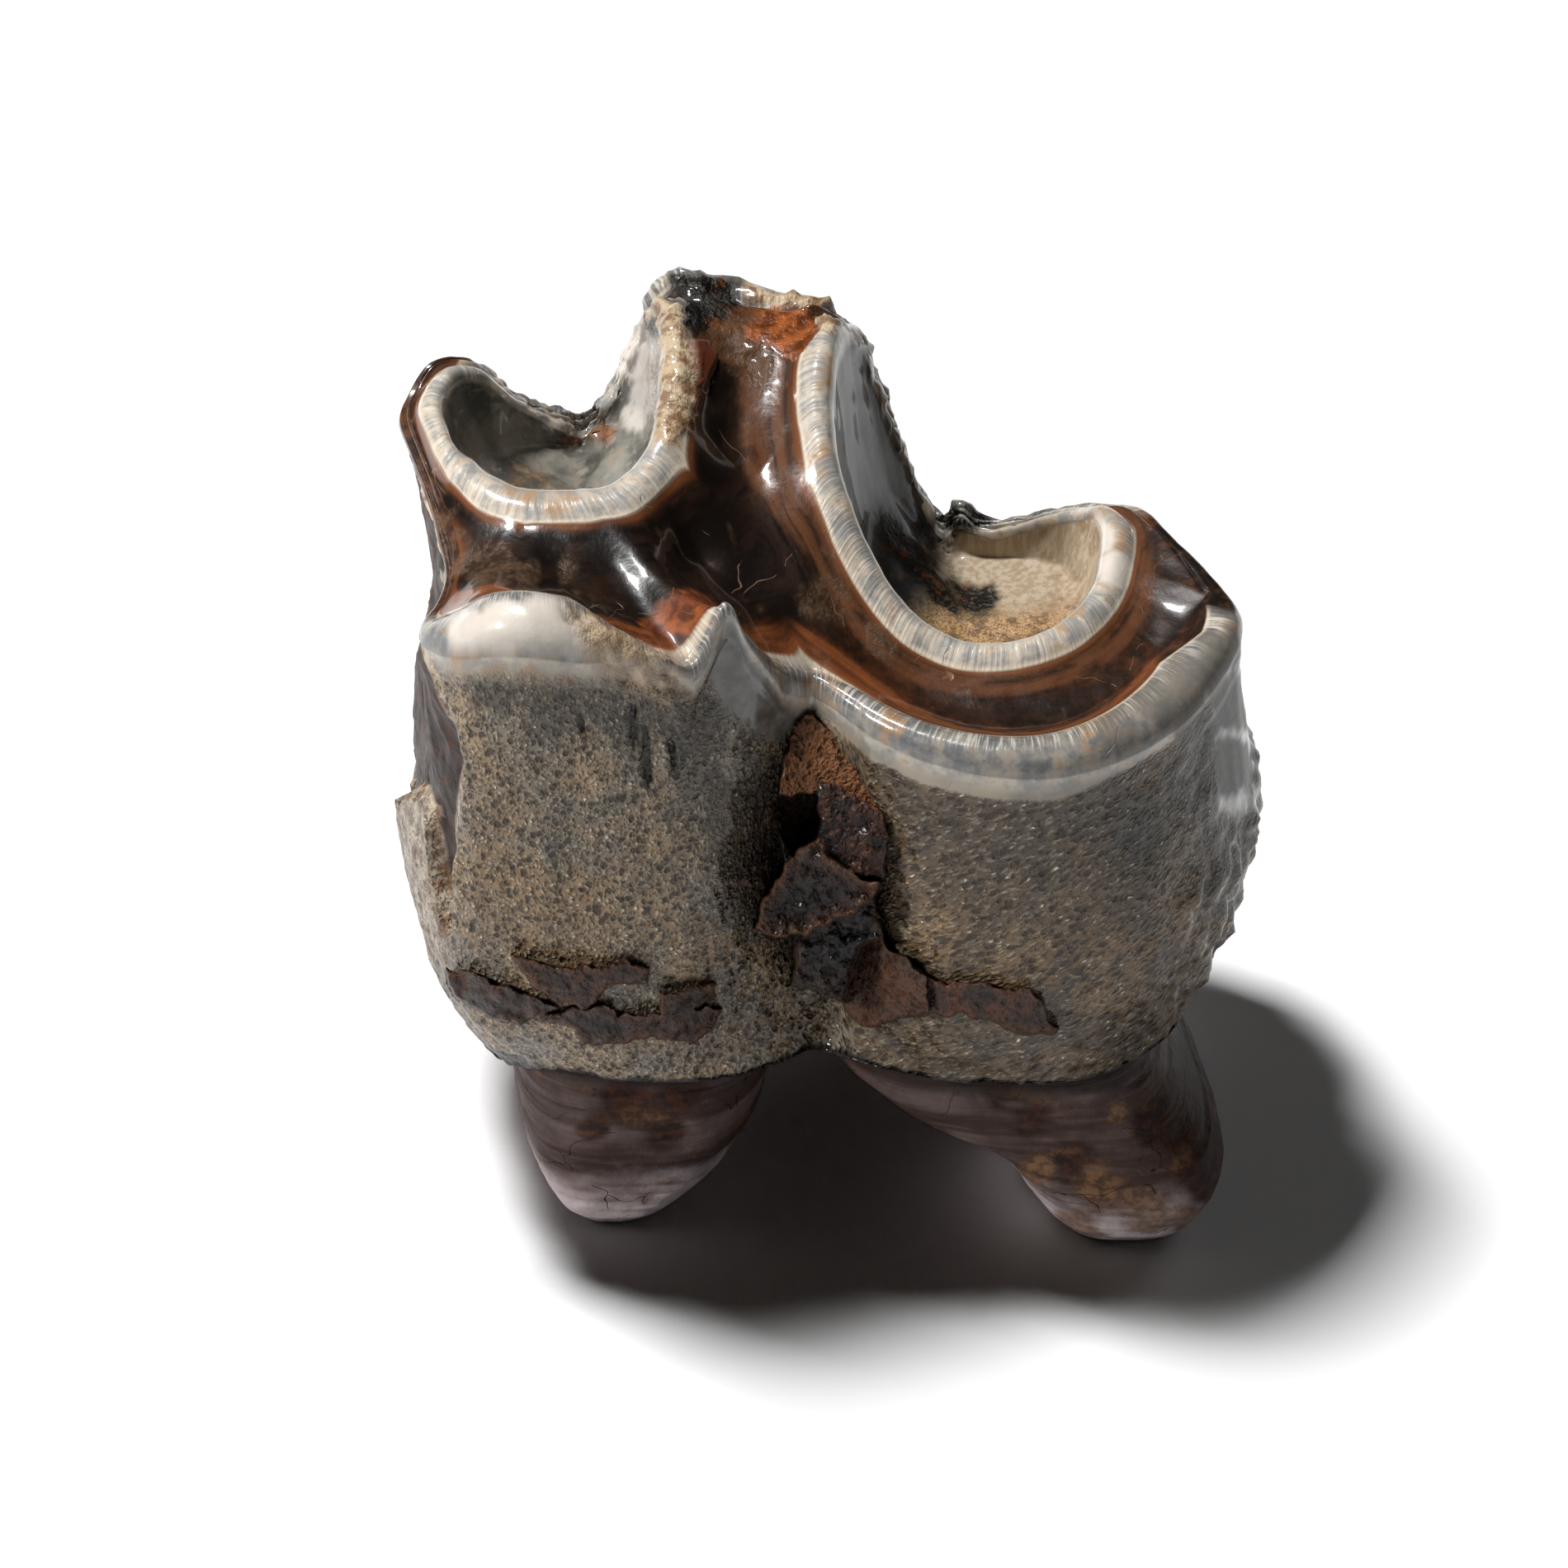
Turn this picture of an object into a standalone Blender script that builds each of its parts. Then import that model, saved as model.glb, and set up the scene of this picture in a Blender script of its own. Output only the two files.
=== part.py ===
"""A fossil lower cheek tooth of a woolly rhinoceros, standing on its two broken roots.

The tooth grew as one piece, so it is one solid: a worn crown with two enamel-walled
basins, two transverse roots, and the crust of cement that still fills the groove in the
cheek side. +X runs along the jaw, -Y faces the cheek and +Z is the chewing side. The
tables are in millimetres, measured from the middle of the footprint, and every mesh is
made in metres.
"""

import math

import bmesh
import bpy
import numpy as np

MM = 0.001
NAME = "tooth"
CLAY_BROWN = (0.20, 0.17, 0.14, 1.0)
ROUGHNESS = 0.42

# Middle of the footprint in the tables' own numbers
MIDDLE = (2.43, -0.05)

# Crown
AXIS = (2.5, 0.0)
ENAMEL = 2.2
SHOULDER = 1.0
BARE_SHOULDER = 0.35
CREST_AT = 0.42
FOOT = 0.8
DEEPEST_DISH = 2.0
CERVIX = 14.2
LOW_CERVIX = 11.8
BELLY = 26.0
BROKEN_ENAMEL = 1.5
BROKEN_SHOULDER = 1.7

# Where the three dentine bands meet: in front of the ridge and behind the cusp
FRONT_MEETING = (-1.4, -2.0, 45.6)
BACK_MEETING = (-2.0, 11.4, 51.2)
MEETING_LENGTH = 9.0
LEAN_TO_MIDDLE = 0.7
EVENED_LENGTH = 4.0

# How finely each band and wall is divided
LEFT_COLUMNS = 62
RIGHT_COLUMNS = 48
RIDGE_COLUMNS = 9
WALL_SHARES = (0.0, 0.05, 0.12, 0.2, 0.3, 0.42, 0.54, 0.66, 0.78, 0.89, 1.0)
RIM_SHARES = (0.0, 0.18, 0.42, 0.75, 1.0)
DISH_SHARES = (0.45, 1.0)
PIT_SHARES = (0.0, 0.2, 0.42, 0.64, 0.85, 1.0)
ROOT_COLUMNS = 26
ROOT_ROWS = 12

# The left dentine band, from the groove round the left end to the back of the cusp:
# outer edge x, y, z, then basin edge x, y, z, then the share of enamel left outside
LEFT_BAND = (
    (1.3, -8.2, 42.3, -7.9, 1.6, 50.8, 1.0),
    (0.8, -8.8, 42.8, -8.6, 0.5, 50.3, 1.0),
    (0.2, -9.6, 43.6, -9.4, -0.4, 50.1, 1.0),
    (-0.8, -10.6, 45.0, -10.3, -1.1, 50.0, 1.0),
    (-2.2, -11.9, 47.6, -11.1, -1.6, 49.9, 1.0),
    (-3.2, -12.1, 49.5, -11.7, -1.8, 49.9, 1.0),
    (-4.3, -13.7, 47.2, -12.2, -2.0, 49.9, 1.0),
    (-6.2, -14.4, 47.3, -12.8, -2.1, 49.9, 1.0),
    (-8.6, -14.6, 49.2, -13.3, -2.2, 49.9, 1.0),
    (-11.2, -14.9, 51.0, -13.8, -2.2, 49.9, 1.0),
    (-14.6, -15.4, 51.7, -14.4, -2.2, 49.9, 1.0),
    (-17.6, -14.6, 50.8, -14.9, -2.1, 49.9, 1.0),
    (-19.6, -12.9, 48.7, -15.3, -1.9, 49.9, 0.9),
    (-20.9, -10.4, 46.9, -15.7, -1.6, 49.9, 0.6),
    (-19.9, -8.3, 46.9, -16.1, -1.3, 49.9, 0.0),
    (-19.4, -6.0, 47.2, -16.6, -0.8, 49.9, 0.0),
    (-19.9, -3.2, 47.6, -17.3, 0.2, 49.9, 0.0),
    (-20.6, -0.4, 48.0, -18.2, 1.7, 49.9, 0.0),
    (-21.6, 2.6, 48.4, -18.9, 3.4, 50.0, 0.0),
    (-22.4, 5.4, 48.7, -19.2, 5.0, 50.0, 0.0),
    (-21.9, 7.4, 49.0, -19.2, 6.6, 50.0, 0.4),
    (-20.6, 9.0, 50.0, -18.6, 7.9, 50.1, 1.0),
    (-18.4, 10.0, 49.3, -17.2, 8.5, 49.2, 1.0),
    (-16.4, 11.0, 46.4, -15.9, 9.6, 46.4, 1.0),
    (-14.4, 11.9, 44.2, -14.1, 10.5, 44.2, 1.0),
    (-12.9, 12.6, 42.9, -12.8, 11.2, 42.8, 1.0),
    (-11.8, 13.2, 42.0, -11.8, 11.8, 41.9, 1.0),
    (-10.6, 13.9, 43.4, -10.4, 12.5, 43.4, 1.0),
    (-9.2, 14.8, 46.4, -9.1, 13.0, 46.4, 1.0),
    (-7.9, 15.4, 50.0, -8.0, 13.0, 50.0, 1.0),
    (-6.2, 15.6, 51.9, -7.5, 11.6, 52.2, 1.0),
    (-2.0, 15.0, 51.0, -7.3, 9.6, 53.0, 1.0),
)

# The right dentine band, from the groove round the right end to the back of the cusp
RIGHT_BAND = (
    (1.3, -8.2, 42.3, 3.2, 2.2, 49.2, 1.0),
    (1.7, -8.7, 42.1, 3.9, 0.3, 47.6, 1.0),
    (2.2, -9.3, 41.9, 4.9, -1.3, 45.7, 1.0),
    (2.8, -10.0, 41.8, 6.2, -2.7, 43.8, 1.0),
    (3.8, -11.2, 41.7, 7.8, -3.9, 42.3, 1.0),
    (5.4, -12.8, 41.6, 9.4, -4.5, 41.4, 1.0),
    (8.0, -14.3, 41.5, 10.9, -4.8, 41.0, 1.0),
    (11.6, -15.4, 41.4, 12.6, -4.7, 40.9, 1.0),
    (15.6, -15.4, 41.3, 14.2, -4.2, 40.9, 1.0),
    (19.6, -13.8, 41.3, 15.7, -3.3, 40.9, 1.0),
    (23.0, -11.0, 41.4, 16.8, -2.1, 41.0, 1.0),
    (25.4, -7.4, 41.6, 17.6, -0.7, 41.0, 1.0),
    (26.6, -4.2, 41.4, 18.1, 0.8, 41.0, 0.7),
    (26.3, -1.8, 40.9, 18.4, 2.3, 41.1, 0.0),
    (24.7, 1.2, 40.8, 18.6, 3.8, 41.1, 0.0),
    (22.9, 4.1, 40.6, 18.6, 5.2, 41.0, 0.0),
    (21.4, 6.9, 40.2, 18.3, 6.7, 40.4, 0.6),
    (19.7, 9.0, 38.8, 17.4, 7.9, 38.9, 1.0),
    (17.2, 10.2, 37.7, 15.7, 8.8, 37.6, 1.0),
    (14.6, 10.6, 36.5, 13.8, 9.2, 36.4, 1.0),
    (12.2, 10.8, 35.9, 11.9, 9.4, 35.8, 1.0),
    (10.4, 11.3, 36.6, 10.5, 9.9, 36.5, 1.0),
    (9.3, 12.4, 34.4, 9.4, 11.0, 34.2, 1.0),
    (8.2, 13.4, 36.2, 8.2, 12.0, 36.2, 1.0),
    (6.8, 14.0, 40.6, 6.9, 12.4, 40.6, 1.0),
    (5.3, 14.2, 45.2, 5.5, 12.4, 45.2, 1.0),
    (4.0, 14.0, 48.8, 4.5, 12.2, 49.0, 1.0),
    (2.0, 14.2, 50.6, 3.8, 10.6, 51.6, 1.0),
    (-2.0, 15.0, 51.0, 3.3, 8.6, 52.2, 1.0),
)

# The ridge between the basins: left basin edge x, y, z, then right basin edge x, y, z
RIDGE = (
    (-7.9, 1.6, 50.8, 3.2, 2.2, 49.2),
    (-7.5, 3.4, 51.6, 2.9, 4.2, 50.4),
    (-7.3, 5.6, 52.3, 2.9, 5.8, 51.5),
    (-7.2, 7.7, 52.8, 3.0, 7.2, 52.1),
    (-7.3, 9.6, 53.0, 3.3, 8.6, 52.2),
)

# Outlines of the crown from above, x and y: at its widest and at the neck
BELLY_OUTLINE = (
    (2.0, -9.4), (4.0, -10.8), (5.8, -13.6), (8.8, -15.8), (13.0, -16.7), (17.5, -16.2),
    (22.2, -14.0), (25.6, -10.2), (27.6, -5.6), (28.3, -0.5), (27.4, 4.2), (24.6, 8.4),
    (20.5, 11.2), (15.0, 12.4), (11.0, 12.6), (8.4, 13.8), (5.0, 15.6), (0.5, 16.8),
    (-4.5, 16.8), (-8.5, 15.7), (-11.6, 13.9), (-15.0, 13.0), (-19.0, 11.2), (-22.2, 7.0),
    (-23.4, 1.5), (-23.0, -4.0), (-21.7, -9.5), (-19.2, -14.2), (-15.0, -16.0),
    (-10.0, -16.4), (-5.0, -15.4), (-1.6, -12.9), (0.2, -10.6),
)
NECK_OUTLINE = (
    (2.0, -12.8), (5.4, -14.2), (9.0, -15.2), (13.0, -15.6), (17.2, -15.3), (20.6, -13.8),
    (23.4, -11.0), (25.0, -6.0), (25.6, 0.0), (23.9, 6.0), (19.5, 10.0), (12.0, 11.0),
    (7.0, 12.6), (1.0, 14.0), (-5.0, 14.0), (-11.0, 12.2), (-16.0, 10.2), (-19.6, 6.5),
    (-21.0, 0.0), (-19.8, -6.0), (-17.6, -11.0), (-14.6, -13.7), (-10.0, -15.2),
    (-4.4, -15.3), (-0.8, -14.2),
)

# Basin floors: centre x, y, z, then half-lengths along X and Y
LEFT_FLOOR = (-12.4, 6.4, 41.2, 3.4, 4.4)
RIGHT_FLOOR = (11.6, 4.4, 33.2, 4.6, 5.0)

# Roots, from inside the crown to the foot: height, centre x, y, half-lengths along X and Y
LEFT_ROOT = (
    (17.0, -8.8, -1.0, 7.6, 12.0),
    (12.5, -8.8, -1.2, 8.1, 12.6),
    (8.0, -8.9, -1.6, 7.9, 12.6),
    (4.0, -9.5, -2.0, 6.8, 12.4),
    (1.4, -10.2, -2.4, 4.9, 12.0),
    (0.3, -10.5, -2.6, 3.0, 11.4),
    (0.0, -10.7, -2.6, 2.2, 11.0),
)
RIGHT_ROOT = (
    (17.0, 12.8, -2.0, 9.4, 12.0),
    (13.0, 13.2, -2.0, 10.4, 12.6),
    (9.5, 15.4, -2.4, 9.9, 12.9),
    (6.5, 19.4, -2.8, 7.6, 13.0),
    (4.0, 21.0, -3.2, 6.6, 12.9),
    (1.4, 21.2, -3.6, 4.8, 12.4),
    (0.3, 20.8, -3.8, 3.3, 11.6),
    (0.0, 20.8, -3.8, 2.8, 11.2),
)
ROOT_FRONT = -14.5
LEFT_SKEW = 0.04
RIGHT_SKEW = -0.24
ROOT_SQUARENESS = 3.4
GROWTH_RINGS = 0.18
GROWTH_SPACING = 3.1

# Cement crust that fills the groove: height, centre x, y, half-lengths along X and Y
GROOVE_CRUST = (
    (37.5, 1.4, -8.6, 1.4, 1.6),
    (35.5, 2.6, -9.8, 2.4, 2.2),
    (33.0, 3.5, -10.9, 2.9, 2.8),
    (30.5, 3.9, -11.5, 3.0, 2.9),
    (28.0, 3.9, -11.8, 2.9, 3.1),
    (25.0, 3.2, -12.4, 3.2, 3.0),
    (21.5, 3.4, -13.2, 4.0, 2.6),
    (18.5, 3.8, -13.6, 3.2, 2.0),
    (16.5, 3.6, -13.2, 1.6, 1.4),
)
CRUST_COLUMNS = 16
CRUST_ROWS = 14
CRUST_LUMPS = 0.13

# Thin flake of cement that stands off the groove: height, centre x, y, half-lengths
FLAKE = (
    (31.6, 2.6, -12.6, 1.0, 0.6),
    (30.0, 1.6, -13.9, 2.8, 0.9),
    (28.0, 0.8, -14.7, 3.1, 0.9),
    (26.2, 0.2, -14.4, 2.2, 0.9),
    (25.2, 0.6, -13.4, 1.0, 0.6),
)
FLAKE_ROWS = 6


def clear_scene():
    """Remove whatever the file opened with."""
    for old in list(bpy.data.objects):
        bpy.data.objects.remove(old)


def ease(share):
    """Smooth step from 0 to 1."""
    share = np.clip(share, 0.0, 1.0)
    return share * share * (3.0 - 2.0 * share)


def read_curve(points, at, closed=True):
    """Smooth curve through the points, read at fractional point numbers."""
    points = np.asarray(points, float)
    count = len(points)
    first = np.floor(at).astype(int)
    if not closed:
        first = np.clip(first, 0, count - 2)
    part = (at - first)[:, None]

    def around(step):
        index = first + step
        return points[index % count if closed else np.clip(index, 0, count - 1)]

    before, start, end, after = around(-1), around(0), around(1), around(2)
    return 0.5 * (
        2 * start
        + (end - before) * part
        + (2 * before - 5 * start + 4 * end - after) * part**2
        + (3 * start - before - 3 * end + after) * part**3
    )


def even_places(pairs, count):
    """Fractional row numbers that divide a band of paired edges into even lengths."""
    fine = np.linspace(0, len(pairs) - 1, 40 * len(pairs))
    line = read_curve(pairs[:, :6], fine, closed=False)
    steps = np.linalg.norm(np.diff(line, axis=0), axis=1)
    length = np.concatenate([[0.0], np.cumsum(steps)])
    return np.interp(np.linspace(0, length[-1], count + 1), length, fine)


def inward_normals(loop):
    """Unit normals in plan, pointing to the left of the way the closed loop runs."""
    along = np.roll(loop[:, :2], -1, axis=0) - np.roll(loop[:, :2], 1, axis=0)
    along /= np.linalg.norm(along, axis=1)[:, None]
    return np.stack([-along[:, 1], along[:, 0]], axis=1)


def middle_line(outer, basin, meeting_start, meeting_end):
    """Lowest line of a dentine band, halfway across it and drawn to the meeting points."""
    width = np.linalg.norm(outer[:, :2] - basin[:, :2], axis=1)
    middle = 0.5 * (outer + basin)
    middle[:, 2] -= DEEPEST_DISH * ease((width - 3.0) / 9.0)
    steps = np.linalg.norm(np.diff(middle, axis=0), axis=1)
    length = np.concatenate([[0.0], np.cumsum(steps)])
    drawn = min(MEETING_LENGTH, length[-1])
    pull_start = np.clip(1 - length / drawn, 0, 1)[:, None] ** 2
    pull_end = np.clip(1 - (length[-1] - length) / drawn, 0, 1)[:, None] ** 2
    shift_start = (np.array(meeting_start) - middle[0]) * pull_start
    shift_end = (np.array(meeting_end) - middle[-1]) * pull_end
    return middle + shift_start + shift_end


def even_height(loop):
    """Height along a closed edge with its short rises and dips evened out."""
    steps = np.linalg.norm(np.roll(loop, -1, axis=0) - loop, axis=1)
    length = np.cumsum(steps) - steps
    apart = np.abs(length[:, None] - length[None, :])
    apart = np.minimum(apart, steps.sum() - apart)
    weight = np.exp(-((apart / EVENED_LENGTH) ** 2)) * steps[None, :]
    return weight @ loop[:, 2] / weight.sum(axis=1)


def half_band(edge, inward, even, middle, enamel):
    """Rows of points from an edge over its rounded rim and down to the band's middle."""
    reach = np.linalg.norm(middle[:, :2] - edge[:, :2], axis=1)
    full = np.clip(reach / (ENAMEL + 0.8), 0.0, 1.0)
    rim = ENAMEL * full
    foot = FOOT * enamel * full
    shoulder = BARE_SHOULDER + (SHOULDER - BARE_SHOULDER) * enamel * full
    rows = []
    for share in RIM_SHARES:
        outside = max(0.0, 1 - share / CREST_AT)
        inside = max(0.0, (share - CREST_AT) / (1 - CREST_AT))
        drop = shoulder * (1 - math.sqrt(1 - outside**2)) + foot * inside**2
        rows.append((rim * share, edge[:, 2] - drop))
    for share in DISH_SHARES:
        height = middle[:, 2] + (even - foot - middle[:, 2]) * (1 - share) ** 2
        height += (edge[:, 2] - even) * (1 - share) ** 5
        rows.append((rim + (reach - rim) * share, height))
    straight = (middle[:, :2] - edge[:, :2]) / reach[:, None]
    inward = inward + LEAN_TO_MIDDLE * straight
    inward /= np.linalg.norm(inward, axis=1)[:, None]
    leftover = (straight - inward) * reach[:, None]
    points = []
    for far, height in rows:
        turn = (far / reach)[:, None] ** 2
        plan = edge[:, :2] + inward * far[:, None] + leftover * turn
        points.append(np.column_stack([plan, height]))
    return np.array(points)


def outline_reader(outline):
    """Radius of a closed outline about the crown's axis, as a function of the angle."""
    line = read_curve(outline, np.linspace(0, len(outline), 600, endpoint=False))
    away = line - np.array(AXIS)
    angle = np.arctan2(away[:, 1], away[:, 0])
    order = np.argsort(angle)
    radius = np.hypot(away[:, 0], away[:, 1])[order]
    return lambda at: np.interp(at, angle[order], radius, period=2 * math.pi)


def left_end_break(angle, height):
    """1 where the enamel of the left end has broken away, above a jagged chip."""
    edge_angle = np.radians(-146.0 - 10.0 * ease((height - 28.0) / 17.0))
    behind = np.radians(152.0)
    from_line = np.where(angle < 0, edge_angle - angle, angle - behind)
    chip = 24.5 + 1.5 * np.sin(5 * angle) + 0.8 * np.sin(17 * angle)
    return ease(from_line / 0.07) * ease((height - chip) / 1.2)


def cement_bands(plan, height):
    """1 on the low flaky bands of cement along the neck of both lobes."""
    along = plan[:, 0]
    left = ease((along + 20.5) / 2) * ease((-3.5 - along) / 2)
    right = ease((along - 4.0) / 2) * ease((17.0 - along) / 2)
    top = 22.6 + 1.1 * np.sin(0.9 * along) + 0.6 * np.sin(2.3 * along)
    bottom = 18.6 + 0.5 * np.sin(1.4 * along)
    low = ease((height - bottom) / 1.0) * ease((top - height) / 1.0)
    return np.maximum(left, right) * low * (plan[:, 1] < 0)


def crown_wall(edge, top):
    """Rows of points up the outside of the crown, from the neck to the rim's shoulder."""
    away = edge[:, :2] - np.array(AXIS)
    angle = np.unwrap(np.arctan2(away[:, 1], away[:, 0]))
    angle = np.minimum.accumulate(angle) if angle[-1] < angle[0] else np.maximum.accumulate(angle)
    angle = (angle + math.pi) % (2 * math.pi) - math.pi
    belly, neck = outline_reader(BELLY_OUTLINE), outline_reader(NECK_OUTLINE)
    ray = np.column_stack([np.cos(angle), np.sin(angle)])
    left_end = ease((-14.0 - edge[:, 0]) / 7.0)
    base = CERVIX - (CERVIX - LOW_CERVIX) * left_end
    rows = []
    for share in WALL_SHARES:
        height = base + (top - base) * share
        fullness = 1 - np.clip((BELLY - height) / (BELLY - base), 0, 1) ** 2.4
        radius = neck(angle) + (belly(angle) - neck(angle)) * fullness
        broken = BROKEN_ENAMEL + BROKEN_SHOULDER * ease((height - 37.0) / 5.0)
        radius = radius - broken * left_end_break(angle, height)
        plan = np.array(AXIS) + ray * radius[:, None]
        plan += ray * (0.7 * cement_bands(plan, height))[:, None]
        near_top = ease((share - 0.35) / 0.65)
        plan = plan + (edge[:, :2] - plan) * near_top
        rows.append(np.column_stack([plan, height]))
    return np.array(rows)


def crown_underside(ring):
    """Rows of points from the neck's edge inwards, rising to a point over the roots."""
    centre = np.array([AXIS[0], AXIS[1], CERVIX + 1.6])
    rows = [ring]
    for share in (0.09, 0.4, 1.0):
        row = ring + (centre - ring) * share
        row[:, 2] = ring[:, 2] + (centre[2] - ring[:, 2]) * min(1.0, 2.0 * share)
        rows.append(row)
    return np.array(rows)


def basin(edge, shoulder, floor):
    """Rows of points from a basin's edge down its wall and in over its floor."""
    centre = np.array(floor[:3])
    away = edge[:, :2] - centre[:2]
    angle = np.arctan2(away[:, 1], away[:, 0])
    foot = centre[:2] + np.column_stack([floor[3] * np.cos(angle), floor[4] * np.sin(angle)])
    rows = []
    for share in PIT_SHARES:
        inwards = 0.45 * share + 0.55 * (1 - math.cos(share * math.pi / 2))
        down = 0.45 * share + 0.55 * math.sin(share * math.pi / 2)
        plan = edge[:, :2] + (foot - edge[:, :2]) * inwards
        rows.append(np.column_stack([plan, shoulder + (centre[2] - shoulder) * down]))
    last = rows[-1]
    rows.append(0.5 * (last + centre))
    rows.append(np.tile(centre, (len(last), 1)))
    return np.array(rows)


def add_grid(points, faces, grid, closed):
    """Append a grid of points and its faces to the lists of a mesh."""
    rows, columns = grid.shape[:2]
    index = len(points) + np.arange(rows * columns).reshape(rows, columns)
    if closed:
        index = np.hstack([index, index[:, :1]])
    quads = np.stack([index[:-1, :-1], index[:-1, 1:], index[1:, 1:], index[1:, :-1]], axis=-1)
    points.extend(grid.reshape(-1, 3).tolist())
    faces.extend(quads.reshape(-1, 4).tolist())


def finish_mesh(name, points, faces):
    """Object made of the points and faces, welded, closed and facing outwards."""
    shifted = (np.array(points) - np.array([MIDDLE[0], MIDDLE[1], 0.0])) * MM
    mesh = bpy.data.meshes.new(name)
    mesh.from_pydata(shifted.tolist(), [], faces)
    shape = bmesh.new()
    shape.from_mesh(mesh)
    bmesh.ops.remove_doubles(shape, verts=shape.verts, dist=0.00002)
    bmesh.ops.recalc_face_normals(shape, faces=shape.faces)
    bmesh.ops.triangulate(shape, faces=shape.faces)
    shape.to_mesh(mesh)
    shape.free()
    return bpy.data.objects.new(name, mesh)


def make_crown():
    """The worn crown: three dentine bands, the outer wall, two basins and the underside."""
    left, right, ridge = (np.array(rows, float) for rows in (LEFT_BAND, RIGHT_BAND, RIDGE))
    left_at = even_places(left, LEFT_COLUMNS)
    right_at = even_places(right, RIGHT_COLUMNS)
    ridge_at = even_places(ridge, RIDGE_COLUMNS)
    left_end, right_end, ridge_end = len(left) - 1, len(right) - 1, len(ridge) - 1

    outer_points = np.vstack([left[:, :3], right[-2:0:-1, :3]])
    left_points = np.vstack([left[:, 3:6], ridge[-2:0:-1, :3]])
    right_points = np.vstack([right[:, 3:6], ridge[-2:0:-1, 3:]])

    def loop(points, first_at, second_at, first_end, second_end):
        """Closed edge read at the columns of the two bands that it borders."""
        back = first_end + second_end - second_at[-2:0:-1]
        return read_curve(points, np.concatenate([first_at, back]))

    outer = loop(outer_points, left_at, right_at, left_end, right_end)
    left_rim = loop(left_points, left_at, ridge_at, left_end, ridge_end)
    right_rim = loop(right_points, right_at, ridge_at, right_end, ridge_end)

    def sides(closed_loop, first_count, inward):
        """The loop's two stretches, each from the front meeting to the back one."""
        even = even_height(closed_loop)
        first = np.arange(first_count + 1)
        second = np.concatenate([[0], np.arange(len(closed_loop) - 1, first_count - 1, -1)])
        return [(closed_loop[at], inward[at], even[at]) for at in (first, second)]

    outer_in = -inward_normals(outer)
    left_in = inward_normals(left_rim)
    right_in = -inward_normals(right_rim)
    outer_left, outer_right = sides(outer, LEFT_COLUMNS, outer_in)
    basin_left, ridge_left = sides(left_rim, LEFT_COLUMNS, left_in)
    basin_right, ridge_right = sides(right_rim, RIGHT_COLUMNS, right_in)

    left_enamel = np.interp(left_at, np.arange(left_end + 1), left[:, 6])
    right_enamel = np.interp(right_at, np.arange(right_end + 1), right[:, 6])
    bands = (
        (outer_left, basin_left, left_enamel),
        (outer_right, basin_right, right_enamel),
        (ridge_left, ridge_right, np.ones(RIDGE_COLUMNS + 1)),
    )

    points, faces = [], []
    shoulders = []
    for near, far, enamel in bands:
        middle = middle_line(near[0], far[0], FRONT_MEETING, BACK_MEETING)
        for side, cover in ((near, enamel), (far, np.ones(len(enamel)))):
            grid = half_band(*side, middle, cover)
            add_grid(points, faces, grid, closed=False)
            shoulders.append(grid[0, :, 2])

    def around(first, second):
        """Shoulder heights of a closed edge, from those of its two stretches."""
        return np.concatenate([first, second[-2:0:-1]])

    wall = crown_wall(outer, around(shoulders[0], shoulders[2]))
    add_grid(points, faces, wall, closed=True)
    add_grid(points, faces, crown_underside(wall[0]), closed=True)
    left_basin = basin(left_rim, around(shoulders[1], shoulders[4]), LEFT_FLOOR)
    right_basin = basin(right_rim, around(shoulders[3], shoulders[5]), RIGHT_FLOOR)
    add_grid(points, faces, left_basin, closed=True)
    add_grid(points, faces, right_basin, closed=True)
    return finish_mesh("crown", points, faces)


def make_stack(name, rings, columns, rows, squareness=2.0, ripple=0.0, skew=0.0, lumps=0.0):
    """Closed solid lofted through level ovals, with growth rings, lumps and a skewed plan."""
    levels = read_curve(rings, np.linspace(0, len(rings) - 1, rows + 1), closed=False)
    turn = np.linspace(0, 2 * math.pi, columns, endpoint=False)
    power = 2.0 / squareness
    unit_x = np.sign(np.cos(turn)) * np.abs(np.cos(turn)) ** power
    unit_y = np.sign(np.sin(turn)) * np.abs(np.sin(turn)) ** power
    grid = []
    for height, middle_x, middle_y, half_x, half_y in levels:
        swell = ripple * math.sin(2 * math.pi * height / GROWTH_SPACING) * min(1.0, height)
        knobs = np.sin(3 * turn + 1.3 * height) + 0.7 * np.sin(5 * turn - 2.1 * height + 1)
        full = 1 + lumps * knobs
        across = middle_x + (half_x * full + swell) * unit_x
        deep = middle_y + (half_y * full + swell) * unit_y
        across += skew * (deep - ROOT_FRONT)
        grid.append(np.column_stack([across, deep, np.full(columns, height)]))
    ends = [np.tile(row.mean(axis=0), (columns, 1)) for row in (grid[0], grid[-1])]
    points, faces = [], []
    add_grid(points, faces, np.array([ends[0], *grid, ends[1]]), closed=True)
    return finish_mesh(name, points, faces)


def join(body, piece):
    """Unite a piece with the body for good, and remove the piece."""
    bpy.context.scene.collection.objects.link(piece)
    union = body.modifiers.new("join", "BOOLEAN")
    union.operation = "UNION"
    union.solver = "EXACT"
    union.object = piece
    graph = bpy.context.evaluated_depsgraph_get()
    mesh = bpy.data.meshes.new_from_object(body.evaluated_get(graph))
    body.modifiers.remove(union)
    body.data = mesh
    bpy.data.objects.remove(piece)


def tooth_material():
    """Stone-hard brown fossil, satin where it isn't polished."""
    material = bpy.data.materials.new("fossil tooth")
    material.use_nodes = True
    surface = material.node_tree.nodes["Principled BSDF"]
    surface.inputs["Base Color"].default_value = CLAY_BROWN
    surface.inputs["Roughness"].default_value = ROUGHNESS
    surface.inputs["Metallic"].default_value = 0.0
    material.diffuse_color = CLAY_BROWN
    return material


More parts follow.
